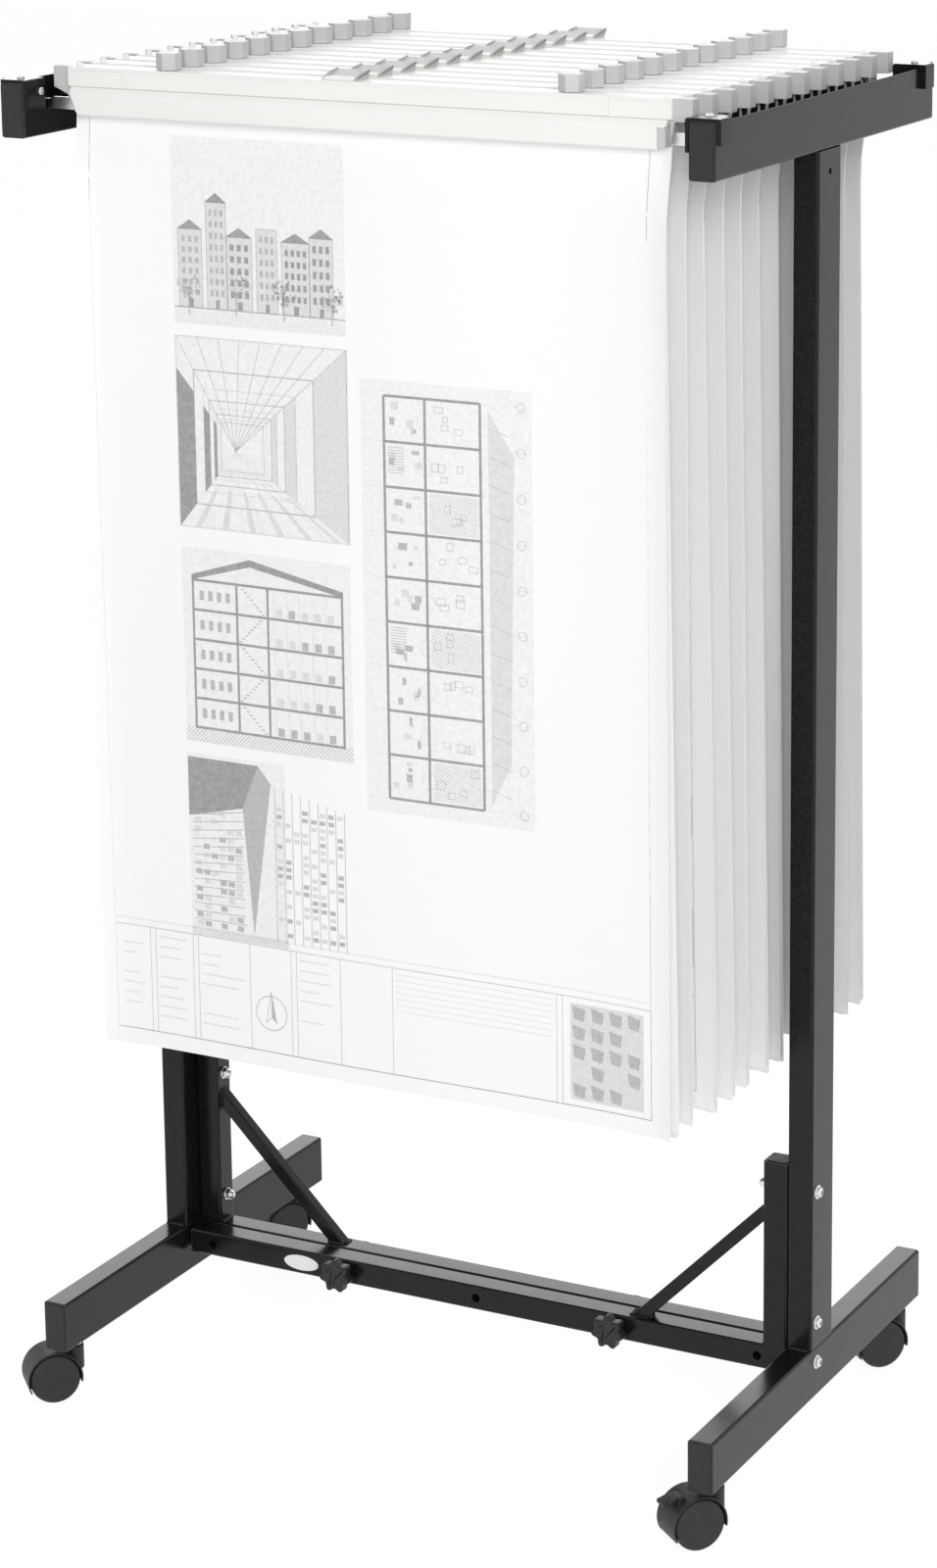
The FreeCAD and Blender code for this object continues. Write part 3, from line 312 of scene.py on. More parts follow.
def surface(name, color, roughness, specular=0.5, metallic=0.0,
            tint=None, gloss=None, relief=None):
    """Material with noises that vary its colour, roughness and height.

    Each noise is given by its scale, detail and stretch, and by the two values that it spreads between,
    or for the relief by the bump's strength and height.
    """
    material = bpy.data.materials.new(name)
    material.use_nodes = True
    material.diffuse_color = (*color, 1.0)
    tree = material.node_tree
    shader = tree.nodes["Principled BSDF"]
    for key, value in (("Base Color", (*color, 1.0)), ("Roughness", roughness), ("Metallic", metallic),
                       ("Specular IOR Level", specular)):
        shader.inputs[key].default_value = value
    if relief:
        *pattern, strength, height = relief
        bump = node(tree, "Bump", Strength=strength, Distance=height)
        tree.links.new(noise(tree, *pattern), bump.inputs["Height"])
        tree.links.new(bump.outputs["Normal"], shader.inputs["Normal"])
    if gloss:
        *pattern, low, high = gloss
        spread = node(tree, "MapRange", From_Min=0.3, From_Max=0.7, To_Min=low, To_Max=high)
        tree.links.new(noise(tree, *pattern), spread.inputs["Value"])
        tree.links.new(spread.outputs["Result"], shader.inputs["Roughness"])
    if tint:
        *pattern, first, second = tint
        blend = node(tree, "ValToRGB")
        for stop, position, shade in zip(blend.color_ramp.elements, (0.35, 0.65), (first, second)):
            stop.position = position
            stop.color = (*shade, 1.0)
        tree.links.new(noise(tree, *pattern), blend.inputs["Fac"])
        tree.links.new(blend.outputs["Color"], shader.inputs["Base Color"])
    return material


def powder_coat(name, specular):
    """Black powder coat with a fine orange peel."""
    return surface(name, (0.008, 0.008, 0.0082), 0.2, specular,
                   relief=(620.0, 2.0, EVEN, 0.06, 0.0003), gloss=(55.0, 4.0, EVEN, 0.17, 0.25),
                   tint=(240.0, 5.0, EVEN, (0.006, 0.006, 0.0062), (0.0095, 0.0095, 0.0098)))


def moulded_black(name, roughness, grain):
    """Moulded black plastic with a fine grain."""
    return surface(name, (0.016,) * 3, roughness, 0.42, relief=(1500.0, 2.0, EVEN, grain, 0.0002),
                   gloss=(90.0, 3.0, EVEN, roughness - 0.05, roughness + 0.06),
                   tint=(400.0, 4.0, EVEN, (0.013,) * 3, (0.02, 0.02, 0.0198)))


def moulded_white(name, color, shade):
    """Satin moulded plastic with faint flow marks along the piece."""
    return surface(name, color, 0.42, relief=(900.0, 2.0, EVEN, 0.1, 0.0002),
                   gloss=(120.0, 3.0, EVEN, 0.36, 0.48), tint=(16.0, 4.0, (0.4, 2.0, 2.0), shade, color))


def paper(name, tone_and_painted_shade):
    """Plain drawing paper with faint fibres and a soft cockle."""
    return surface(name, (tone_and_painted_shade,) * 3, 0.72, 0.25,
                   relief=(14.0, 3.0, (1.0, 1.0, 0.35), 0.12, 0.004),
                   tint=(900.0, 6.0, (1.0, 1.0, 3.0), (tone_and_painted_shade - 0.015,) * 3, (tone_and_painted_shade + 0.015,) * 3))


def ink(name, shade):
    """Faded drawing ink on paper, a little uneven."""
    return surface(name, (shade,) * 3, 0.7, 0.2,
                   tint=(260.0, 3.0, EVEN, (shade - 0.04,) * 3, (shade + 0.03,) * 3))


COAT = powder_coat("powder_coat", 0.26)
STOP_BLACK = powder_coat("stop_coat", 0.2)
CAP_BLACK = moulded_black("cap_plastic", 0.44, 0.12)
HOOD_BLACK = moulded_black("hood_plastic", 0.5, 0.2)
WHEEL_BLACK = moulded_black("wheel_plastic", 0.42, 0.1)
ZINC = surface("zinc_plate", (0.8, 0.8, 0.79), 0.24, metallic=1.0,      # bright, with fine streaks
               gloss=(700.0, 3.0, (1.0, 1.0, 6.0), 0.18, 0.34), relief=(2400.0, 2.0, EVEN, 0.08, 0.0001))
WHITE = moulded_white("hanger_plastic", (0.85, 0.85, 0.83), (0.83, 0.83, 0.81))
GREY = moulded_white("hanger_end_plastic", (0.56,) * 3, (0.53,) * 3)
TRAY = moulded_white("tray_plastic", (0.5,) * 3, (0.47,) * 3)
LABEL = moulded_white("label_plate", (0.92, 0.92, 0.915), (0.9, 0.9, 0.895))
# The third paper, on packs 8 to 12, is darker: painted shade, for the shade that the packs in front throw on
# the packs seen past the upright.
PAPERS = [paper("paper_white", 0.93), paper("paper_pale", 0.93), paper("paper_painted_shade", 0.84)]


# ---- side frames ----------------------------------------------------------------------------------
def bead(start, end, radius):
    """Weld bead between two points: a thin bar with ripples along it."""
    ripple = 2.3
    start, end = Vector(start), Vector(end)
    bm = cylinder(radius, start, end, 8)
    run = (end - start).normalized()
    cuts = max(2, int((end - start).length / ripple))
    bmesh.ops.subdivide_edges(bm, edges=edges_along(bm, run), cuts=cuts)
    for vert in bm.verts:
        along = (vert.co - start).dot(run)
        middle = start + run * along
        vert.co = middle + (vert.co - middle) * (1.0 + 0.3 * math.sin(math.pi * along / ripple))
    return bm


def foot_tube():
    return bar((SIDE_IN, -FOOT_HALF, FOOT_LOW), (HALF_WIDTH, FOOT_HALF, FOOT_TOP), "y", CORNER)


def upright_tube():
    """Upright with one small hole near its top."""
    body = bar((SIDE_IN, -THIN, FOOT_TOP), (HALF_WIDTH, THIN, RAIL_LOW), "z", CORNER)
    height = RAIL_LOW - 20.0
    return carve(body, cylinder(3.0, (HALF_WIDTH - 8.0, 0, height), (HALF_WIDTH + 2.0, 0, height), 24))


def rail_channel():
    """Rail tube with its top and upper inner wall cut away between the stops."""
    body = bar((SIDE_IN, -RAIL_HALF, RAIL_LOW), (HALF_WIDTH, RAIL_HALF, RAIL_TOP), "y", CORNER)
    reach = RAIL_HALF - 14.0
    body = carve(body, bar((SIDE_IN + WALL, -reach, RAIL_LOW + WALL),
                           (HALF_WIDTH - WALL, reach, RAIL_TOP - WALL), "y", CORNER - WALL, 3))
    return carve(body, block((SIDE_IN - 1, -STOP_BACK, LIP_TOP),
                             (HALF_WIDTH - WALL, STOP_BACK, RAIL_TOP + 1)))


def post_tube():
    return bar((POST_IN, CROSS_FRONT, CROSS_TOP), (SIDE_IN, CROSS_FRONT + THIN, POST_TOP), "z", CORNER)


def brace_bar():
    """Square bar at 45 degrees from the post down to the cross tube."""
    top = Vector((POST_IN, CROSS_MID, BRACE_Z))
    low = Vector((BRACE_FOOT, CROSS_MID, CROSS_TOP))
    half = (top - low).length / 2 + BRACE_HALF - 0.2
    rod = bar((-half, -BRACE_HALF, -BRACE_HALF), (half, BRACE_HALF, BRACE_HALF), "x", 1.2, 3)
    return joined([rod], Matrix.Translation((top + low) / 2) @ Matrix.Rotation(-math.pi / 4, 4, "Y"))


def weld_beads():
    """Beads at the upright's foot and top, the post's foot and both ends of the brace."""
    upright, post, tube = SIDE_IN - 0.2, POST_IN - 0.2, CROSS_TOP + 0.2
    seam = CROSS_FRONT + 1.0
    front, back = CROSS_MID - BRACE_HALF, CROSS_MID + BRACE_HALF
    rise = BRACE_HALF * math.sqrt(2)
    beads = [((POST_IN + 1, seam, CROSS_TOP), (SIDE_IN, seam, CROSS_TOP), 1.0),
             ((post, CROSS_FRONT + CORNER, CROSS_TOP), (post, -CORNER, CROSS_TOP), 1.5)]
    for height in (FOOT_TOP, RAIL_LOW):
        beads.append(((upright, CORNER - THIN, height), (upright, THIN - CORNER, height), 1.3))
        for y in (-THIN - 0.3, THIN + 0.3):
            beads.append(((SIDE_IN + CORNER, y, height), (HALF_WIDTH - CORNER, y, height), 2.2))
    for side in (-1, 1):
        x = BRACE_FOOT + side * (rise + 0.4)
        y = CROSS_MID + side * (BRACE_HALF + 0.2)
        z = BRACE_Z + side * (rise + 0.2)
        beads += [((BRACE_FOOT - rise, y, tube), (BRACE_FOOT + rise, y, tube), 1.6),
                  ((post, y, BRACE_Z - rise), (post, y, BRACE_Z + rise), 1.4),
                  ((x, front, tube), (x, back, tube), 1.9), ((post, front, z), (post, back, z), 1.4)]
    return joined(bead(*line) for line in beads)


def tube_cap(width, height):
    """Plastic cap drawn on its back: a flange as large as the tube with a raised pad on it."""
    brim, edge = CAP - 0.7, 2.3
    flange = bar((-width / 2, -height / 2, 0), (width / 2, height / 2, brim), "z", CORNER)
    ease_end(flange, "z", brim, 0.4)
    pad = bar((edge - width / 2, edge - height / 2, 0.5),
              (width / 2 - edge, height / 2 - edge, CAP), "z", 2.4, 4)
    return add(flange, ease_end(pad, "z", CAP, 0.55, 3))


def tube_caps():
    """Caps at both ends of the foot and the rail, on the post and on the cross tube's free end."""
    bm = bmesh.new()
    for side in (-1, 1):
        for half, low, top in ((FOOT_HALF, FOOT_LOW, FOOT_TOP), (RAIL_HALF, RAIL_LOW, RAIL_TOP)):
            add(bm, tube_cap(THIN, 2 * THIN), facing((STEM_X, side * half, (low + top) / 2), (0, side, 0)))
    post = ((POST_IN + SIDE_IN) / 2, CROSS_MID, POST_TOP)
    add(bm, tube_cap(THIN, THIN), facing(post, (0, 0, 1), (0, 1, 0)))
    return add(bm, tube_cap(THIN, THIN), facing((CROSS_FREE, CROSS_MID, CROSS_Z), (-1, 0, 0)))


def stop_saddle(flange_from, flange_to):
    """Front saddle over the rail's end: a long inner flange, and a thick outer one on part of it."""
    front, back = -STOP_END - 1, 1 - STOP_BACK
    low = (SIDE_IN - STOP_THIN, -STOP_END, RAIL_TOP - STOP_DROP_IN)
    high = (HALF_WIDTH + STOP_THICK, -STOP_BACK, RAIL_TOP + STOP_THIN)
    body = block(low, high)
    upper = [edge for edge in edges_along(body, "y") if edge.verts[0].co.z > RAIL_TOP]
    round_off(body, upper, 2.6, 4)
    body = carve(body, bar((SIDE_IN, front, RAIL_TOP - 60), (HALF_WIDTH, back, RAIL_TOP), "y", CORNER))
    body = carve(body, block((HALF_WIDTH - 0.01, front, low[2] - 1),
                             (high[0] + 1, back, RAIL_TOP - STOP_DROP_OUT)))
    for bare_from, bare_to in ((front, flange_from), (flange_to, back)):
        if bare_to - bare_from > 1.01:
            body = carve(body, block((HALF_WIDTH - CORNER / 3, bare_from, low[2] - 1),
                                     (high[0] + 1, bare_to, high[2] + 1)))
    return body


def stop_saddles():
    """The saddles of one rail; both have the outer flange at their forward end."""
    front = stop_saddle(-STOP_END, -STOP_END + STOP_FLANGE_OUT)
    rear = stop_saddle(-STOP_BACK - STOP_FLANGE_OUT, -STOP_BACK)
    return add(front, rear, Matrix.Scale(-1, 4, (0, 1, 0)))


def screw_head(radius, proud):
    """Pan head with a cross recess, drawn on its back."""
    head = cylinder(radius, (0, 0, 0), (0, 0, proud), 28)
    ease_end(head, "z", proud, proud * 0.62, 5)
    arm, slot = radius * 0.56, radius * 0.2
    for across, along in ((arm, slot), (slot, arm)):
        head = carve(head, block((-across, -along, proud * 0.4), (across, along, proud + 1)))
    return head


def washer(radius, thick):
    return ease_end(cylinder(radius, (0, 0, 0), (0, 0, thick), 36), "z", thick, thick * 0.45)


def hex_nut(across, thick):
    return ease_end(cylinder(across / math.sqrt(3), (0, 0, 0), (0, 0, thick), 6), "z", thick, 0.6)


def dome_nut():
    """Six-sided nut with a washer face and a round cap, drawn on its back."""
    dome = ((0, 4.8), (4.2, 4.8), (4.15, 5.8), (3.8, 7.0), (3.1, 8.1), (2.0, 8.8), (0.9, 9.15), (0, 9.2))
    nut = add(hex_nut(10.0, 5.0), turned([(x, 0, z) for x, z in dome], (0, 0, 1), (0, 0, 0), steps=28))
    return add(nut, washer(6.4, 1.0))


def bolts_and_screws(dome_rows):
    """Side bolts with washers and dome nuts, and the screws of the end stops."""
    bm = bmesh.new()
    under_head = 1.3
    for row, height in enumerate(BOLT_ROWS):
        outer = facing((HALF_WIDTH, CROSS_MID, height), (1, 0, 0))
        add(bm, washer(6.8, under_head), outer)
        add(bm, screw_head(5.0, 3.6), outer @ Matrix.Translation((0, 0, under_head)))
        if row < dome_rows:
            add(bm, dome_nut(), facing((POST_IN, CROSS_MID, height), (-1, 0, 0)))
    for side in (-1, 1):
        top = (STEM_X, side * (STOP_END + STOP_BACK) / 2, RAIL_TOP + STOP_THIN)
        inner = (SIDE_IN - STOP_THIN, side * (STOP_BACK + STOP_SIDE_SCREW), RAIL_TOP - STOP_DROP_IN / 3)
        add(bm, screw_head(*STOP_SCREW), facing(top, (0, 0, 1), (0, 1, 0)))
        add(bm, screw_head(*STOP_SCREW), facing(inner, (-1, 0, 0)))
    return bm


def caster_stems():
    """Each stem with the collar under the foot."""
    bm = bmesh.new()
    low, collar_low, top = 44.0, 54.0, 60.0
    for y in (-STEM_Y, STEM_Y):
        add(bm, cylinder(5.0, (STEM_X, y, low), (STEM_X, y, top), 24))
        collar = cylinder(8.5, (STEM_X, y, collar_low), (STEM_X, y, FOOT_LOW), 32)
        add(bm, ease_end(collar, "z", collar_low, 0.5))
    return bm


def side_frame(hand):
    pieces = (
        ("foot_tube", foot_tube(), COAT, "foot"), ("upright_tube", upright_tube(), COAT, "upright"),
        ("rail_channel", rail_channel(), COAT, "rail"), ("post_tube", post_tube(), COAT, "post"),
        ("brace_bar", brace_bar(), COAT, "brace"), ("weld_beads", weld_beads(), COAT, None),
        ("tube_caps", tube_caps(), CAP_BLACK, "end_caps"),
        ("stop_saddles", stop_saddles(), STOP_BLACK, "end_stops"),
        ("bolts_and_screws", bolts_and_screws(DOME_ROWS[hand]), ZINC, "fasteners"),
        ("stems", caster_stems(), ZINC, "caster_stems"),
    )
    for name, shape, material, node_name in pieces:
        if hand == "left":
            move(shape, HALF_TURN)
        stands_for = hand + "_" + node_name if node_name else None
        finish_piece(shape, hand + "_" + name, hand + "_frame", material, stands_for)


# ---- cross tubes and clamps -----------------------------------------------------------------------
def hollow_cross_tube():
    """Square cross tube of the right half, open inside from end to end."""
    outer = bar((CROSS_FREE, CROSS_FRONT, CROSS_LOW), (SIDE_IN, CROSS_FRONT + THIN, CROSS_TOP), "x", CORNER)
    inner = bar((CROSS_FREE + 1.0, CROSS_FRONT + WALL, CROSS_LOW + WALL),
                (SIDE_IN - 1.0, CROSS_FRONT + THIN - WALL, CROSS_TOP - WALL), "x", CORNER - WALL, 3)
    return carve(outer, inner)


def front_cross_bar():
    """Cross tube with five holes."""
    body = hollow_cross_tube()
    for step in range(-2, 3):
        x = step * HOLE_PITCH
        hole = cylinder(HOLE_RADIUS, (x, CROSS_FRONT - 2, CROSS_Z), (x, CROSS_FRONT + THIN + 2, CROSS_Z), 36)
        body = carve(body, hole)
    return body


def rear_cross_bar():
    """The same tube turned, with two long slots for the clamp studs."""
    body = hollow_cross_tube()
    move(body, HALF_TURN)
    for centre in (-HOLE_PITCH, HOLE_PITCH):
        slot = bar((centre - HOLE_RADIUS, -1.5, CROSS_Z - HOLE_RADIUS),
                   (centre + TRAVEL + HOLE_RADIUS, CROSS_BACK + 2, CROSS_Z + HOLE_RADIUS),
                   "y", HOLE_RADIUS - 0.05, 8)
        body = carve(body, slot)
    return body


def star_knob(centre):
    """Seven-lobed knob with a neck and its stud."""
    radius, lobe = 15.2, 2.2
    foot = CROSS_FRONT - 0.3
    front = foot - 17.0
    knob = cylinder(radius, (centre, foot - 6.0, CROSS_Z), (centre, front, CROSS_Z), 84)
    for vert in knob.verts:
        x, z = vert.co.x - centre, vert.co.z - CROSS_Z
        swell = 1.0 + lobe / radius * math.cos(7 * (math.atan2(z, x) - math.pi / 2))
        vert.co.x, vert.co.z = centre + x * swell, CROSS_Z + z * swell
    ease_end(knob, "y", front, 2.0, 4)
    dish = [face for face in knob.faces if abs(face.normal.y + 1) < 0.001 and face.calc_area() > 100]
    bmesh.ops.inset_region(knob, faces=dish, thickness=2.2, depth=-0.5, use_even_offset=True)
    add(knob, cylinder(8.0, (centre, foot, CROSS_Z), (centre, foot - 6.5, CROSS_Z), 32))
    return add(knob, cylinder(4.0, (centre, foot - 1.0, CROSS_Z), (centre, CROSS_BACK + 13.4, CROSS_Z), 24))


def stud_washers():
    """Large washer and nut behind the rear tube, for each stud."""
    bm = bmesh.new()
    thick = 2.0
    for centre in (-HOLE_PITCH, HOLE_PITCH):
        at = facing((centre, CROSS_BACK + 0.3, CROSS_Z), (0, 1, 0))
        add(bm, washer(12.2, thick), at)
        add(bm, hex_nut(13.0, 6.5), at @ Matrix.Translation((0, 0, thick)))
    return bm


def oval_label():
    """Blank oval plate on the front cross tube."""
    thick, middle = 0.8, -201.0
    plate = cylinder(20.0, (0, 0, 0), (0, 0, thick), 64)
    bmesh.ops.scale(plate, vec=(1.0, 0.4, 1.0), verts=plate.verts)
    ease_end(plate, "z", thick, 0.3)
    return joined([plate], facing((middle, CROSS_FRONT, CROSS_Z), (0, -1, 0)))


def cross_tubes():
    finish_piece(front_cross_bar(), "front_cross_bar", "right_frame", COAT, "front_cross_tube")
    finish_piece(rear_cross_bar(), "rear_cross_bar", "left_frame", COAT, "rear_cross_tube")
    finish_piece(oval_label(), "oval_label", "right_frame", LABEL, "label_plate")
    finish_piece(stud_washers(), "stud_washers", "right_frame", ZINC, "clamp_washers")
    for hand, centre in (("left", -HOLE_PITCH), ("right", HOLE_PITCH)):
        knob = "clamp_knob_" + hand
        finish_piece(star_knob(centre), "star_knob_" + hand, knob, CAP_BLACK, knob)


# ---- casters, drawn with the stem on the z axis and the axle along x --------------------------------
def caster_place(corner):
    end, hand = corner.split("_")
    x = STEM_X if hand == "right" else -STEM_X
    y = -STEM_Y if end == "front" else STEM_Y
    return Matrix.Translation((x, y, 0)) @ Matrix.Rotation(math.radians(HEADINGS[corner]), 4, "Z")


def hood_shell():
    """Curved cover over both wheels, ending lower on the side away from the stem."""
    outer, inner, half, soft = 27.6, 26.0, 18.3, 0.5
    near, far = math.radians(-11.3), math.radians(205.5)
    points = [
        (soft - half, outer), (half - soft, outer), (half, outer - soft), (half, inner + soft),
        (half - soft, inner), (soft - half, inner), (-half, inner + soft), (-half, outer - soft),
    ]
    start = [(x, AXLE_Y + r * math.cos(near), AXLE_Z + r * math.sin(near)) for x, r in points]
    return turned(start, (1, 0, 0), (0, AXLE_Y, AXLE_Z), far - near, 56)


def hood_web():
    """Plate between the wheels, cut level above the floor."""
    plate = cylinder(26.4, (-4.3, AXLE_Y, AXLE_Z), (4.3, AXLE_Y, AXLE_Z), 56)
    bmesh.ops.bisect_plane(plate, geom=plate.verts[:] + plate.edges[:] + plate.faces[:],
                           plane_co=(0, 0, 12.5), plane_no=(0, 0, -1), clear_outer=True)
    bmesh.ops.holes_fill(plate, edges=plate.edges, sides=0)
    return plate


def hood_neck():
    """Round housing of the stem, blended down onto the cover."""
    top, half = 53.0, 5.5
    body = ease_end(cylinder(10.0, (0, 0, 29.0), (0, 0, top), 40), "z", top, 1.0, 3)
    outline = ((AXLE_Y + 4, 50.0), (2, 51.5), (4, 30.0), (AXLE_Y + 8, 46.0))
    return add(body, ease(profile(outline, -half, half), 0.8))


def brake_lever():
    """Wedge-shaped pedal with three ribs, on its pin."""
    pin_y, pin_z, half, root, tip = -37.0, 49.0, 7.5, 2.7, 18.0
    outline = ((root, -1.5), (root, root), (-root, root + 1.0), (-tip, -0.8), (-tip, -4.2), (-root, -1.5))
    pedal = ease(profile([(pin_y + y, pin_z + z) for y, z in outline], -half, half), 0.7, 3)
    for step in range(3):
        rib_y, rib_z = pin_y - 9.0 - 3.0 * step, pin_z + 2.2 - 0.87 * step
        add(pedal, eased_block((1.5 - half, rib_y - 0.5, rib_z - 1.6),
                               (half - 1.5, rib_y + 0.5, rib_z + 0.3), 0.25))
    return add(pedal, cylinder(1.5, (-9.8, pin_y, pin_z), (9.8, pin_y, pin_z), 20))


def lever_ears():
    """Ears that hold the brake lever's pin."""
    return joined(eased_block((low, -40.4, 41.0), (high, -33.6, 52.4), 0.7, 3)
                  for low, high in (spanned(-1, 7.8, 9.8), spanned(1, 7.8, 9.8)))


def wheel(side):
    """One wheel: flat outer disc with a rounded rim and a shallow step near it."""
    near, far, rim = 4.6, 18.0, 25.0
    outline = [
        (near, 3.0), (near, 21.0), (near, rim - 1.6), (near + 0.5, rim - 0.5), (near + 1.6, rim),
        (far - 3.0, rim), (far - 1.6, rim - 0.4), (far - 0.6, rim - 1.3), (far - 0.1, rim - 2.6),
        (far, rim - 3.4), (far - 0.15, rim - 3.8), (far + 0.1, 12.0), (far + 0.2, 0.0),
    ]
    points = [(side * x, AXLE_Y, AXLE_Z + r) for x, r in outline]
    return turned(points, (1, 0, 0), (0, AXLE_Y, AXLE_Z), steps=64)


def casters():
    for corner in HEADINGS:
        hood = [hood_shell(), hood_web(), hood_neck()]
        axle = cylinder(3.0, (-12.0, AXLE_Y, AXLE_Z), (12.0, AXLE_Y, AXLE_Z), 20)
        wheels = [wheel(-1), wheel(1), axle]
        pieces = [("_hood", hood, "_swivel", HOOD_BLACK, "_caster_hood"),
                  ("_twin_wheels", wheels, "_wheels", WHEEL_BLACK, "_caster_wheels")]
        if corner in BRAKED:
            hood.append(lever_ears())
            pieces.insert(0, ("_pedal", [brake_lever()], "_brake", HOOD_BLACK, "_brake_lever"))
        for name, shapes, body, material, node_name in pieces:
            bm = joined(shapes, caster_place(corner))
            finish_piece(bm, corner + name, corner + body, material, corner + node_name)


# ---- hangers, drawn from the end plates' front face at the rail's top --------------------------------
def hanger_place(number):
    return Matrix.Translation((DRIFT * (number - 1), PITCH_START + PITCH * (number - 1), RAIL_TOP))


def grooved(length):
    """One length of the beam with the fine groove along its front."""
    return carve(length, block((-BEAM_HALF - 1, -6.0, 11.3), (BEAM_HALF + 1, -3.6, 11.9)))


def hanger_beam():
    """Beam in three lengths: a long middle and a fitting at each end, with a fine seam between."""
    seam, gap = 248.0, 0.4
    bm = grooved(bar((gap - seam, -4.0, BEAM_LOW), (seam - gap, 22.0, BEAM_TOP), "x", 1.6, 4))
    for side in (-1, 1):
        low, high = spanned(side, seam + gap, BEAM_HALF)
        end = bar((low, -4.25, BEAM_LOW), (high, 22.0, BEAM_TOP + 0.15), "x", 1.6, 4)
        add(bm, grooved(ease_end(end, "x", side * BEAM_HALF, 0.8)))
        low, high = spanned(side, seam - 1, seam + 1)
        add(bm, block((low, -3.4, BEAM_LOW + 0.5), (high, 21.4, BEAM_TOP - 0.6)))
    return bm


def narrow_downwards(bm, top, bottom):
    """Pulls a long bar's ends in towards its lower edge."""
    for vert in bm.verts:
        if abs(vert.co.x) > JAW_LOW_HALF - 1:
            share = min(1.0, max(0.0, (top - vert.co.z) / (top - bottom)))
            vert.co.x *= 1.0 - share * (1.0 - JAW_LOW_HALF / JAW_TOP_HALF)


def hanger_jaws():
    """Front jaw under a sloped ledge and the plain rear jaw, with the sheets' slot between them."""
    ledge = -8.5
    outline = ((-4.0, BEAM_LOW), (-8.6, ledge), (-8.6, -28.1),
               (-6.6, JAW_LOW), (4.5, JAW_LOW), (4.5, BEAM_LOW))
    front = profile(outline, -JAW_TOP_HALF, JAW_TOP_HALF)
    round_off(front, edges_along(front, "x"), 0.7, 2)
    narrow_downwards(front, ledge, JAW_LOW)
    front = carve(front, block((JAW_CAP_START, -20.0, -40.0), (JAW_TOP_HALF + 5, 10.0, JAW_CAP_TOP)))
    add(front, bar((-JAW_LOW_HALF, 7.1, JAW_LOW), (JAW_LOW_HALF, 20.0, BEAM_LOW), "x", 1.5, 3))
    return add(front, block((-JAW_LOW_HALF, 4.4, -18.0), (JAW_LOW_HALF, 7.2, -4.0)))


def end_strip(side, outline, front, deep):
    """Upright strip at one end of the hanger, drawn from the front and pushed back."""
    strip = pushed([(side * x, front, z) for x, z in outline], (0, deep, 0))
    bmesh.ops.recalc_face_normals(strip, faces=strip.faces)
    return ease(strip, 0.6)


def hanger_ends():
    """Grey end plates with thick tabs, stepped in at the rails, and the cap on the jaws' right end."""
    low_end, shoulder = -28.1, -2.0
    cap = bar((JAW_CAP_START, -8.7, low_end), (JAW_TOP_HALF, 18.0, JAW_CAP_TOP), "y", 2.5, 5)
    bm = joined([ease_end(cap, "y", -8.7, 0.6)])
    outer = PLATE_HALF - 0.3
    for side, step_in, step_low in ((-1, 312.0, -11.6), (1, 309.0, -6.2)):
        outline = ((outer, shoulder), (outer, -5.4), (step_in, step_low), (JAW_TOP_HALF, low_end),
                   (JAW_TOP_HALF, shoulder))
        add(bm, end_strip(side, outline, 0.2, 3.8))
        low, high = spanned(side, BEAM_HALF, PLATE_HALF)
        add(bm, eased_block((low, -0.1, -5.6), (high, TAB_DEEP, BEAM_TOP), 0.6))
    return bm


def hanger_lugs():
    """Steel strips with a lower tongue that rests in the rails."""
    start, end, low = JAW_TOP_HALF + 0.5, 350.0, -26.5
    outline = ((start, -15.0), (start, low), (end, low), (end, -17.0), (334.0, -17.0), (330.0, -15.0))
    return joined(end_strip(side, outline, 4.05, 3.95) for side in (-1, 1))


def painted_shade_plates():
    """Black plates on the jaws' ends, behind the front jaw: painted shade inside the rail's channel, under
    the tabs.
    """
    near, far = JAW_TOP_HALF + 0.1, JAW_TOP_HALF + 1.7
    return joined(eased_block((low, -8.0, -20.0), (high, 22.0, -6.5), 0.4)
                  for low, high in (spanned(-1, near, far), spanned(1, near, far)))


def pegs():
    """Pegs on the beam's ends; the right one is pressed in almost flush."""
    return joined(ease_end(cylinder(3.0, (x, 4.0, BEAM_TOP - 0.2), (x, 4.0, top), 20), "z", top, 0.5)
                  for x, top in ((-300.0, 17.8), (300.0, 15.4)))


def turn_knob(side, twist):
    """Six-sided knob on the beam, a little narrower at its foot."""
    foot, top, across, back = BEAM_TOP + 0.3, 30.4, 206.0, 9.0
    knob = cylinder(11.6, (0, 0, foot), (0, 0, top), 6, 12.0)
    corner = max(knob.verts, key=lambda vert: vert.co.y).co
    lean = math.pi / 2 - math.atan2(corner.y, corner.x)
    turn = Matrix.Rotation(lean + math.radians(twist), 3, "Z")
    bmesh.ops.rotate(knob, cent=(0, 0, 0), matrix=turn, verts=knob.verts)
    ease(knob, 0.5)
    bmesh.ops.translate(knob, vec=(side * across, back, 0), verts=knob.verts)
    return knob


def index_holder(middle):
    """Shallow sloping tray for an index card, with a web under each end."""
    half, wall = 17.0, 1.6
    floor = ((4.0, 15.5), (27.0, 20.4), (27.0, 22.0), (4.0, 17.1))
    end = ((-1.0, BEAM_TOP), (22.0, BEAM_TOP), (26.8, 20.4), (26.8, 23.0), (14.0, 21.6), (1.0, 17.4))
    tray = ease(profile(floor, middle - half, middle + half), 0.35)
    for x in (middle - half, middle + half - wall):
        add(tray, ease(profile(end, x, x + wall), 0.3))
    return tray


def index_lip(middle):
    """White front lip of the tray."""
    half = 15.2
    outline = ((-1.0, BEAM_TOP), (6.0, 15.9), (6.0, 17.9), (-1.0, 16.6))
    return ease(profile(outline, middle - half, middle + half), 0.4)


TWISTED = {2: 30.0, 7: 26.0}    # right-hand knobs that are turned


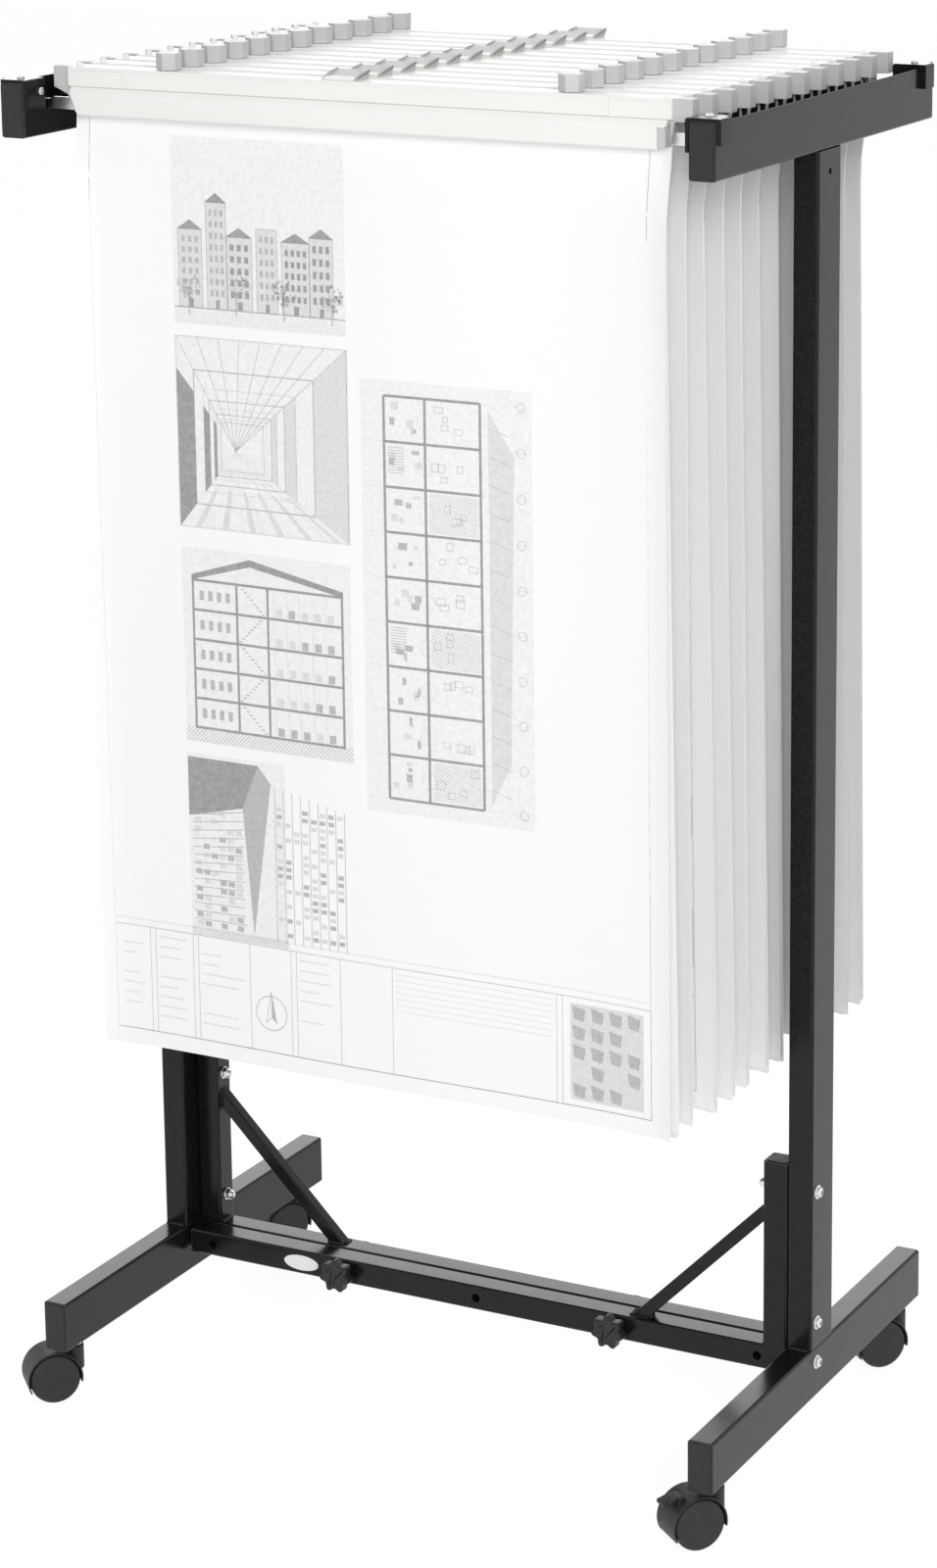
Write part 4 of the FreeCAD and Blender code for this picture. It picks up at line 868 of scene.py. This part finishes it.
def hangers():
    for number in range(1, HANGERS + 1):
        body, place = "hanger_%02d" % number, hanger_place(number)
        middle = -22.0 + 2.0 * (number - 1)
        pieces = [
            ("_beam", hanger_beam(), WHITE, body), ("_jaws", hanger_jaws(), WHITE, None),
            ("_end_plates", hanger_ends(), GREY, None),
            # lugs of hangers 2 to 12 are black, partly as blackened steel and partly as painted shade in the
            # rail's channel; the first hanger's lugs stay zinc
            ("_lugs", hanger_lugs(), ZINC if number == 1 else COAT, None),
            ("_pegs", pegs(), WHITE, None), ("_index_holder", index_holder(middle), TRAY, None),
            ("_index_lip", index_lip(middle), WHITE, None),
        ]
        # black plates on hangers 2 to 12 that paint the shade in the rail's channel
        if number > 1:
            pieces.append(("_painted_shade_plates", painted_shade_plates(), COAT, None))
        for name, shape, material, stands_for in pieces:
            finish_piece(joined([shape], place), body + name, body, material, stands_for)
        for hand, side, twist in (("left", -1, 0.0), ("right", 1, TWISTED.get(number, 0.0))):
            shape = joined([turn_knob(side, twist)], place)
            if number == 1:
                knob = "turn_knob_" + hand
                finish_piece(shape, "turning_block_" + hand, knob, GREY, knob)
            else:
                finish_piece(shape, body + "_block_" + hand, body, GREY)


# ---- sheets ---------------------------------------------------------------------------------------
def swing(number, layer):
    """How far a sheet's lower edge has swung to the right."""
    if number == 1:
        return (0.0, 8.0, 5.5, 3.0)[layer]
    return SWING.get(number, 1.0) + (0.0, -2.5, 1.0, -1.0)[layer]


def sheet_length(number, layer):
    return SHEET_LONG - SHORTER.get(number, 0.0) - (1.0, 0.0, 5.0, 3.0)[(number + layer) % LAYERS]


def bulge(number, layer, x, share):
    """How far a point of a pack stands back from its slot: x in mm, share of the length from 0 to 1."""
    chance = random.Random(100 * number)
    near_top = min(1.0, share / 0.09)
    rise = near_top * near_top * (3 - 2 * near_top)
    fade = 1.0 - 0.7 * share
    across = x / (SHEET_WIDE / 2)
    right = -chance.uniform(13.0, 18.0) * max(0.0, across) ** 5 * fade
    left = -chance.uniform(5.0, 9.0) * max(0.0, -across) ** 5 * fade
    phase = chance.uniform(0, 2 * math.pi)
    wave = (0.4 + 1.5 * share) * math.sin(1.4 * math.pi * across + phase)
    ripple = 0.4 * math.sin(5.1 * across + 4.0 * share + 2 * phase)
    curl = -0.2 * max(0.0, abs(x) - 290.0)
    return rise * (right + left + wave + ripple + curl) + layer * (0.6 + 1.5 * share)


def hang_point(number, layer, x, down):
    """Where a point of a flat sheet hangs: x from the sheet's middle, down from its upper edge."""
    share = down / sheet_length(number, layer)
    lean = swing(number, layer) / SHEET_LONG
    rise = x * lean * min(1.0, share / 0.04)
    back = SHEET_BACK + bulge(number, layer, x, share)
    return Vector((x + lean * down, back, SHEET_TOP - 0.2 - down + rise))


def hung_sheet(number, layer):
    """One thin sheet, held along its upper edge and free below."""
    half, length = SHEET_WIDE / 2, sheet_length(number, layer)
    grid = bmesh.new()
    bmesh.ops.create_grid(grid, x_segments=48, y_segments=40, size=1.0)
    for vert in grid.verts:
        vert.co = hang_point(number, layer, vert.co.x * half, (1.0 - vert.co.y) / 2 * length)
    return grid


# ---- ink on the sheets, drawn flat in millimetres -----------------------------------------------------
INK_STEP = 16.0             # longest stretch of ink without a joint, so that it follows the sheet


class Drawing:
    """Pens for one drawing, that measure across and down from its upper left corner."""

    def __init__(self, pens, chance, left, top, wide, tall):
        self.pens, self.chance = pens, chance
        self.left, self.top, self.wide, self.tall = left, top, wide, tall

    def at(self, x, y):
        return Matrix.Translation((self.left + x, -self.top - y, 0))

    def patch(self, pen, x, y, wide, tall):
        """Patch about a middle point."""
        steps = [max(1, math.ceil(length / INK_STEP)) for length in (wide, tall)]
        bmesh.ops.create_grid(self.pens[pen], x_segments=steps[0], y_segments=steps[1], size=0.5,
                              matrix=self.at(x, y) @ Matrix.Diagonal((wide, tall, 1, 1)))

    def area(self, pen, left, top, right, bottom):
        """Patch between two corners."""
        self.patch(pen, (left + right) / 2, (top + bottom) / 2, right - left, bottom - top)

    def line(self, pen, start, end, width=0.5):
        """Straight pen line with square ends."""
        across, up = end[0] - start[0], start[1] - end[1]
        length = math.hypot(across, up)
        place = self.at((start[0] + end[0]) / 2, (start[1] + end[1]) / 2)
        place = place @ Matrix.Rotation(math.atan2(up, across), 4, "Z")
        bmesh.ops.create_grid(self.pens[pen], x_segments=max(1, math.ceil(length / INK_STEP)), y_segments=1,
                              size=0.5, matrix=place @ Matrix.Diagonal((length + width, width, 1, 1)))

    def path(self, pen, points, width=0.5, closed=False):
        ends = points[1:] + (points[:1] if closed else [])
        for start, end in zip(points, ends):
            self.line(pen, start, end, width)

    def outline(self, pen, left, top, right, bottom, width=0.5):
        self.path(pen, [(left, top), (right, top), (right, bottom), (left, bottom)], width, closed=True)

    def slab(self, pen, points):
        """Patch with any straight-sided outline."""
        part = bmesh.new()
        part.faces.new([part.verts.new((self.left + x, -self.top - y, 0)) for x, y in points])
        for axis in (0, 1):
            low = min(vert.co[axis] for vert in part.verts)
            high = max(vert.co[axis] for vert in part.verts)
            for step in range(1, math.ceil((high - low) / INK_STEP)):
                at, normal = Vector(), Vector()
                at[axis], normal[axis] = low + INK_STEP * step, 1.0
                bmesh.ops.bisect_plane(part, geom=part.verts[:] + part.edges[:] + part.faces[:],
                                       plane_co=at, plane_no=normal)
        pour(self.pens[pen], as_mesh(part))

    def dot(self, pen, x, y, radius):
        bmesh.ops.create_circle(self.pens[pen], cap_ends=True, segments=6, radius=radius,
                                matrix=self.at(x, y))

    def ring(self, pen, x, y, radius, width=0.6, sides=20):
        turns = [2 * math.pi * step / sides for step in range(sides)]
        points = [(x + radius * math.cos(turn), y + radius * math.sin(turn)) for turn in turns]
        self.path(pen, points, width, closed=True)

    def windows(self, pen, left, top, right, bottom, columns, rows, share):
        """Rows of window panes."""
        wide, tall = (right - left) / columns, (bottom - top) / rows
        for column in range(columns):
            for row in range(rows):
                x, y = left + wide * (column + 0.5), top + tall * (row + 0.5)
                self.patch(pen, x, y, wide * share, tall * share)

    def hatch(self, pen, left, top, right, bottom, step, width):
        """Slanting hatch lines inside a rectangle."""
        start = left - (bottom - top)
        while start < right:
            first, last = max(left, start), min(right, start + bottom - top)
            if last > first:
                self.line(pen, (first, bottom - (first - start)), (last, bottom - (last - start)), width)
            start += step


def tree_symbol(page, x, ground, tall):
    """Tree in elevation: a trunk and a loose crown of leaves."""
    chance = page.chance
    page.line("mid", (x, ground), (x, ground - tall * 0.5), 1.4)
    root, crown = ground - tall * 0.45, ground - tall * 0.68
    for _ in range(7):
        turn = chance.uniform(-1.2, 1.2)
        reach = tall * chance.uniform(0.25, 0.5)
        page.line("mid", (x, root), (x + reach * math.sin(turn), root - reach * math.cos(turn)), 0.6)
    for leaf in range(60):
        turn, reach = chance.uniform(0, 2 * math.pi), tall * 0.34 * math.sqrt(chance.random())
        page.dot("light" if leaf % 3 else "mid", x + reach * math.cos(turn), crown + reach * math.sin(turn),
                 chance.uniform(0.8, 2.2))


def street_elevation(page):
    """Row of houses with trees before them."""
    wide, ground, chance = page.wide, page.tall - 16.0, page.chance
    page.area("wash", 0, 0, wide, page.tall)
    x = 6.0
    while x < wide - 22.0:
        broad = min(chance.uniform(20.0, 36.0), wide - 4.0 - x)
        tall = chance.uniform(0.4, 0.78) * ground
        eaves, end = ground - tall, x + broad
        page.area("light", x, eaves, end, ground)
        page.outline("mid", x, eaves, end, ground, 0.7)
        page.windows("dark" if chance.random() < 0.4 else "mid", x + 2, eaves + 4, end - 2, ground - 9,
                     max(3, int(broad / 7)), max(3, int(tall / 12)), 0.55)
        page.area("dark", x + broad * 0.42, ground - 8, x + broad * 0.6, ground)
        if chance.random() < 0.6:
            page.slab("dark", [(x - 1, eaves), (x + broad / 2, eaves - 9), (end + 1, eaves)])
        x += broad + chance.choice((0.0, 0.0, 5.0))
    for step in range(4):
        tree_symbol(page, 16 + step * (wide - 30) / 3, ground + 6, chance.uniform(34, 48))
    page.area("mid", 0, ground, wide, ground + 1.2)
    for step in range(5):
        page.line("light", (0, ground + 4 + 2.4 * step), (wide, ground + 4 + 2.4 * step), 0.5)


def hall_view(page):
    """Empty hall in one-point perspective: floor slabs, columns, roof beams and a glazed end wall."""
    wide, tall = page.wide, page.tall
    far_x, far_y = 0.34 * wide, 0.58 * tall
    page.area("wash", 0, 0, wide, tall)

    def towards(x, y, share):
        return (x + (far_x - x) * share, y + (far_y - y) * share)

    shares = [1 - 1 / (1 + 0.42 * step) for step in range(9)]
    for step, share in enumerate(shares):
        corners = [towards(x, y, share) for x, y in ((0, 0), (wide, 0), (wide, tall), (0, tall))]
        page.path("mid" if step % 2 else "light", corners, 1.1 * (1 - share) + 0.3, closed=True)
        x = step * wide / 8
        page.line("light", (x, tall), (far_x, far_y), 0.45)
        page.line("mid", (x, 0), (far_x, far_y), 0.6)
    for near, far in zip(shares[0:6:2], shares[1:7:2]):
        for pen, x, top in (("light", wide, 0), ("dark", 0, 30)):
            page.slab(pen, [towards(x, top, near), towards(x, top, far), towards(x, tall, far),
                            towards(x, tall, near)])
    for step in range(6):
        x = (step + 0.5) * wide / 6
        page.slab("light", [(x, tall), (x + 7, tall), towards(x + 7, tall, 0.5), towards(x, tall, 0.5)])


def building_section(page):
    """Cut through a tall house: thick floors and walls, stairs, roof and ground."""
    wide, ground = page.wide, page.tall - 14.0
    page.area("wash", 0, 0, wide, page.tall)
    page.slab("dark", [(10, 26), (74, 6), (wide - 8, 26), (wide - 8, 31), (74, 13), (10, 31)])
    levels = [31 + step * (ground - 31) / 5 for step in range(6)]
    for level in levels:
        page.area("dark", 10, level - 1.2, wide - 8, level + 1.2)
    for wall in (10, 58, 92, wide - 10.4):
        page.area("dark", wall, levels[0], wall + 2.4, ground)
    for floor, (high, low) in enumerate(zip(levels, levels[1:])):
        steps = 9
        for step in range(steps):
            share = step / steps if floor % 2 else 1 - (step + 1) / steps
            x, y = 61 + 29 * share, low - (low - high) * (step + 1) / steps
            page.area("mid", x, y, x + 3.4, y + 1.1)
        page.windows("mid", 16, high + 5, 54, low - 5, 4, 1, 0.5)
        for post in range(5):
            x = 100 + post * 14
            page.line("light", (x, high + 2), (x, low - 2), 0.6)
            page.area("light" if page.chance.random() < 0.6 else "mid", x + 2, low - 10, x + 9, low - 2)
    page.hatch("mid", 0, ground, wide, page.tall, 4.0, 0.7)


def front_elevation(page):
    """Facade with a steep dark roof, close rows of glazing bars and a shaded side."""
    wide, tall, chance = page.wide, page.tall, page.chance
    page.area("wash", 0, 0, wide, tall)
    page.slab("dark", [(0, 4), (78, 4), (60, 48), (0, 62)])
    page.slab("mid", [(78, 4), (92, 20), (70, tall - 8), (60, 48)])
    for row in range(14):
        y = 52 + row * (tall - 60) / 14
        page.line("mid", (4, y + 9 * (14 - row) / 14), (60, y), 0.8)
        for x in range(6, 60, 9):
            if chance.random() < 0.55:
                page.area("light" if chance.random() < 0.5 else "mid", x, y + 2, x + 7, y + 7)
    for column in range(9):
        x = 96 + column * 9.5
        page.line("mid", (x, 22 + 2 * column), (x, tall - 6), 0.7)
    for row in range(18):
        y = 40 + row * (tall - 50) / 18
        page.line("light", (94, y), (wide - 4, y + 2), 0.6)
        for pane in range(8):
            if chance.random() < 0.5:
                x = 97.5 + 9.5 * pane
                page.area("mid" if chance.random() < 0.5 else "light", x, y + 1.4, x + 6, y + 5.5)
    page.hatch("mid", 0, tall - 8, wide, tall, 3.0, 0.6)


def floor_plan(page):
    """Long floor plan: thick walls, rooms, door swings, stairs and furniture, with grid lines."""
    wide, tall, chance = page.wide, page.tall, page.chance
    page.area("wash", 0, 0, wide, tall)
    left, corridor, right = 24, 66, wide - 52
    for wall in (left, corridor, right):
        page.area("dark", wall - 1.3, 14, wall + 1.3, tall - 14)
    rooms = [14 + step * (tall - 28) / 9 for step in range(10)]
    for wall in rooms:
        page.area("dark", left, wall - 1.2, right, wall + 1.2)
        page.line("light", (4, wall), (wide - 6, wall), 0.4)
        page.ring("mid", wide - 11, wall, 4.2, 0.5)
    for number, (high, low) in enumerate(zip(rooms, rooms[1:])):
        middle = (high + low) / 2
        page.ring("light", corridor, middle, 8.0, 0.5, 16)
        page.area("wash", corridor - 2, middle - 5, corridor + 2, middle + 5)
        for piece in range(5):
            x, y = chance.uniform(left + 4, left + 32), chance.uniform(high + 4, low - 12)
            page.area("mid" if piece % 2 else "light", x, y,
                      x + chance.uniform(3, 9), y + chance.uniform(3, 8))
        for piece in range(4):
            x, y = chance.uniform(corridor + 6, right - 12), chance.uniform(high + 4, low - 12)
            page.outline("mid", x, y, x + chance.uniform(5, 10), y + chance.uniform(4, 8), 0.5)
        if number % 4 == 1:
            for step in range(10):
                y = high + 5 + 2.6 * step
                page.line("mid", (left + 4, y), (left + 20, y), 0.6)
        if number % 3 == 2:
            page.hatch("mid", corridor + 4, high + 3, right - 3, low - 3, 3.6, 0.5)
    page.slab("light", [(right + 8, 20), (right + 34, 60), (right + 28, tall - 60), (right + 8, tall - 20)])
    for step in range(14):
        y = 36 + step * (tall - 70) / 13
        page.line("mid", (right + 9, y), (right + 29, y + 6), 0.5)


def site_plan(page):
    """Small map of grey plots between pale streets."""
    page.area("light", 0, 0, page.wide, page.tall)
    wide, tall = page.wide / 4, page.tall / 5
    for row in range(5):
        for column in range(4):
            if page.chance.random() < 0.8:
                x, y = wide * column + 2, tall * row + 2
                page.slab("mid", [(x, y), (x + wide - 5, y + 3),
                                  (x + wide - 7, y + tall - 4), (x + 2, y + tall - 6)])
    page.slab("wash", [(0, 30), (6, 26), (page.wide, page.tall - 30), (page.wide, page.tall - 22)])


def title_strip(page):
    """Ruled boxes along the lower edge, left blank, with a north point and a site plan."""
    wide, tall, chance = page.wide, page.tall, page.chance
    page.outline("mid", 0, 0, wide, tall, 0.6)
    page.line("light", (0, -7), (wide, -7), 0.6)
    for x in (38, 44, 86, 92, 150, 196, 202, 250, 306, wide - 98, wide - 92):
        page.line("mid", (x, 0), (x, tall), 0.5)
    for start, end in ((4, 34), (48, 82), (96, 146), (206, 246)):
        for y in range(8, 98, 10):
            if chance.random() < 0.7:
                page.line("light", (start, y), (start + (end - start) * chance.uniform(0.4, 1.0), y), 0.9)
    for y in range(6, 48, 6):
        page.line("light", (310, y), (wide - 102, y), 0.5)
    x, y = 173, 66
    page.ring("mid", x, y, 17.0, 0.7, 28)
    page.slab("mid", [(x, y - 22), (x + 6, y + 10), (x, y + 4)])
    page.path("mid", [(x, y - 22), (x - 6, y + 10), (x, y + 4)], 0.6)
    site_plan(Drawing(page.pens, chance, page.left + wide - 84, page.top + 6, 76, tall - 12))


def margin_lines(pens, number):
    """Border near the sheet's edge, with ruled boxes and marks along its right side."""
    chance = random.Random(40 + number)
    page = Drawing(pens, chance, BORDER_RIGHT, 0, 0, 0)
    bottom = sheet_length(number, 0) - 16
    page.outline("dark" if number > 8 else "mid", BORDER_LEFT - BORDER_RIGHT, 8, 0, bottom, 0.7)
    if number == 1:
        return
    for mark in range(6):
        y = 90 + 130 * mark + chance.uniform(-30, 30)
        wide = chance.uniform(7, 11)
        page.outline("mid", -wide, y, -1.5, y + chance.uniform(20, 60), 0.6)
        page.ring("mid", -7, y - 12, 3.2, 0.6, 12)
        page.path("mid", [(-9, y + 76), (-2, y + 84), (-9, y + 92)], 0.6)


def front_drawings(pens):
    """The first sheet's drawings: four in a column, a plan beside them and a title strip."""
    chance = random.Random(7)
    column = -205.0
    for draw, *place in (
            (street_elevation, column, 26, 183, 174), (hall_view, column, 212, 183, 180),
            (building_section, column, 412, 183, 188), (front_elevation, column, 612, 108, 180),
            (floor_plan, -8.0, 236, 174, 406),
            (title_strip, BORDER_LEFT, sheet_length(1, 0) - 121, BORDER_RIGHT - BORDER_LEFT, 105)):
        draw(Drawing(pens, chance, *place))


# Each ink's shade, and how far it stands in front of the paper.
INKS = {name: (ink("ink_" + name, shade), lift) for name, shade, lift in
        (("wash", 0.86, 0.22), ("light", 0.72, 0.26), ("mid", 0.5, 0.3), ("dark", 0.36, 0.34))}


def print_on_sheet(number, place, body):
    """Ink of one pack's front sheet, a hair in front of the paper."""
    pens = {name: bmesh.new() for name in INKS}
    margin_lines(pens, number)
    if number == 1:
        front_drawings(pens)
    pieces = []
    for name, (material, lift) in INKS.items():
        shape = pens[name]
        if not shape.faces:
            shape.free()
            continue
        for vert in shape.verts:
            vert.co = hang_point(number, 0, vert.co.x, -vert.co.y) - Vector((0, lift, 0))
        for face in shape.faces:
            face.normal_update()
            if face.normal.y > 0:
                face.normal_flip()
        move(shape, place)
        pieces.append(finish_piece(shape, "ink_%02d_%s" % (number, name), body, material, even=False))
    return pieces


def sheets():
    for number in range(1, HANGERS + 1):
        tag = "%02d" % number
        body, place = "hanger_" + tag, hanger_place(number)
        for layer in range(LAYERS):
            shape = joined([hung_sheet(number, layer)], place)
            stands_for = None if layer else "sheets_" + tag
            # packs 8 to 12 get the darker paper, which is painted shade
            tone_and_painted_shade = PAPERS[(number > 1) + (number > 7)]
            piece = finish_piece(shape, "sheet_%s_%d" % (tag, layer + 1), body, tone_and_painted_shade, stands_for, even=False)
            thick = piece.modifiers.new("thickness", "SOLIDIFY")
            thick.thickness = PAPER_THICK
            thick.offset = 0.0
            piece.modifiers.new("crisp edges", "EDGE_SPLIT").split_angle = math.radians(40.0)
            printed = [] if layer else print_on_sheet(number, place, body)


# ---- light, floor and camera ----------------------------------------------------------------------
PURE_WHITE = (1, 1, 1, 1)
FILL_LIGHT = 0.46           # the world's light on the rack
FLOOR_GLOW, FLOOR_SHARE = 1.12, 0.82   # how bright the floor looks, and how much of that is its own


def seen_directly(tree):
    """1 for rays from the camera, in reflections and through glass."""
    rays = node(tree, "LightPath")
    total = rays.outputs["Is Camera Ray"]
    for name in ("Is Glossy Ray", "Is Transmission Ray"):
        either = node(tree, "Math")
        either.operation = "MAXIMUM"
        tree.links.new(total, either.inputs[0])
        tree.links.new(rays.outputs[name], either.inputs[1])
        total = either.outputs[0]
    return total


def mix_shader(tree, first, second):
    mix = node(tree, "MixShader")
    output = [found for found in tree.nodes if found.type.startswith("OUTPUT")][0]
    tree.links.new(first, mix.inputs[1])
    tree.links.new(second, mix.inputs[2])
    tree.links.new(mix.outputs[0], output.inputs["Surface"])
    return mix


def white_world():
    """White to the camera and in reflections, and a soft even light on everything else."""
    world = bpy.data.worlds.new("studio")
    bpy.context.scene.world = world
    world.use_nodes = True
    tree = world.node_tree
    fill = tree.nodes["Background"]
    fill.inputs["Strength"].default_value = FILL_LIGHT
    fill.inputs["Color"].default_value = PURE_WHITE
    seen = node(tree, "Background", Color=PURE_WHITE, Strength=1.0)
    mix = mix_shader(tree, fill.outputs[0], seen.outputs[0])
    tree.links.new(seen_directly(tree), mix.inputs["Fac"])


def white_floor():
    """Pale floor that keeps the rack's soft shadow."""
    bm = bmesh.new()
    bmesh.ops.create_grid(bm, x_segments=1, y_segments=1, size=12.0)
    floor = stand("floor", as_mesh(bm, "floor"))
    material = surface("floor_white", (0.9, 0.9, 0.9), 0.9, specular=0.0)
    tree = material.node_tree
    glow = node(tree, "Emission", Color=PURE_WHITE, Strength=FLOOR_GLOW)
    mix = mix_shader(tree, tree.nodes["Principled BSDF"].outputs[0], glow.outputs[0])
    share = node(tree, "Math")
    share.operation = "MULTIPLY"
    share.inputs[1].default_value = FLOOR_SHARE
    tree.links.new(seen_directly(tree), share.inputs[0])
    tree.links.new(share.outputs[0], mix.inputs["Fac"])
    floor.data.materials.append(material)


def soft_lamp(name, place, aim, size, power):
    """Square lamp that lights the rack but isn't seen itself."""
    light = bpy.data.lights.new(name, "AREA")
    light.shape = "SQUARE"
    light.size = size
    light.energy = power
    lamp = stand(name, light)
    lamp.location = place
    lamp.rotation_euler = (Vector(aim) - Vector(place)).to_track_quat("-Z", "Y").to_euler()
    lamp.visible_glossy = False
    lamp.visible_camera = False
    return lamp


def set_camera():
    """Camera in front, to the right and above, with a slight roll and shift."""
    yaw, pitch, roll = 0.465, 0.219, -0.005
    ahead = Vector((-math.sin(yaw) * math.cos(pitch), math.cos(yaw) * math.cos(pitch), -math.sin(pitch)))
    right = Vector((math.cos(yaw), math.sin(yaw), 0.0))
    up = right.cross(ahead)
    side = right * math.cos(roll) + up * math.sin(roll)
    head = up * math.cos(roll) - right * math.sin(roll)
    camera = stand("view", bpy.data.cameras.new("view"))
    place = Vector((1782.353, -3280.607, 1726.125)) * MM + TO_FRAME
    camera.matrix_world = Matrix.Translation(place) @ Matrix((side, head, -ahead)).transposed().to_4x4()
    camera.data.sensor_width = 36.0
    camera.data.lens = 91.771
    camera.data.shift_x = -0.08768
    camera.data.shift_y = -0.17818
    bpy.context.scene.camera = camera


def studio():
    white_world()
    white_floor()
    soft_lamp("key", (3.24, -4.36, 2.9), (0.0, 0.0, 0.7), 3.0, 200.0)
    soft_lamp("top", (0.0, 0.2, 3.3), (0.0, 0.0, 1.0), 1.8, 7.0)
    soft_lamp("back", (-1.8, 3.2, 2.1), (0.0, 0.0, 0.5), 2.6, 40.0).visible_glossy = True
    set_camera()
    bpy.context.scene.view_settings.view_transform = "Standard"


side_frame("right")
side_frame("left")
cross_tubes()
casters()
hangers()
sheets()
studio()
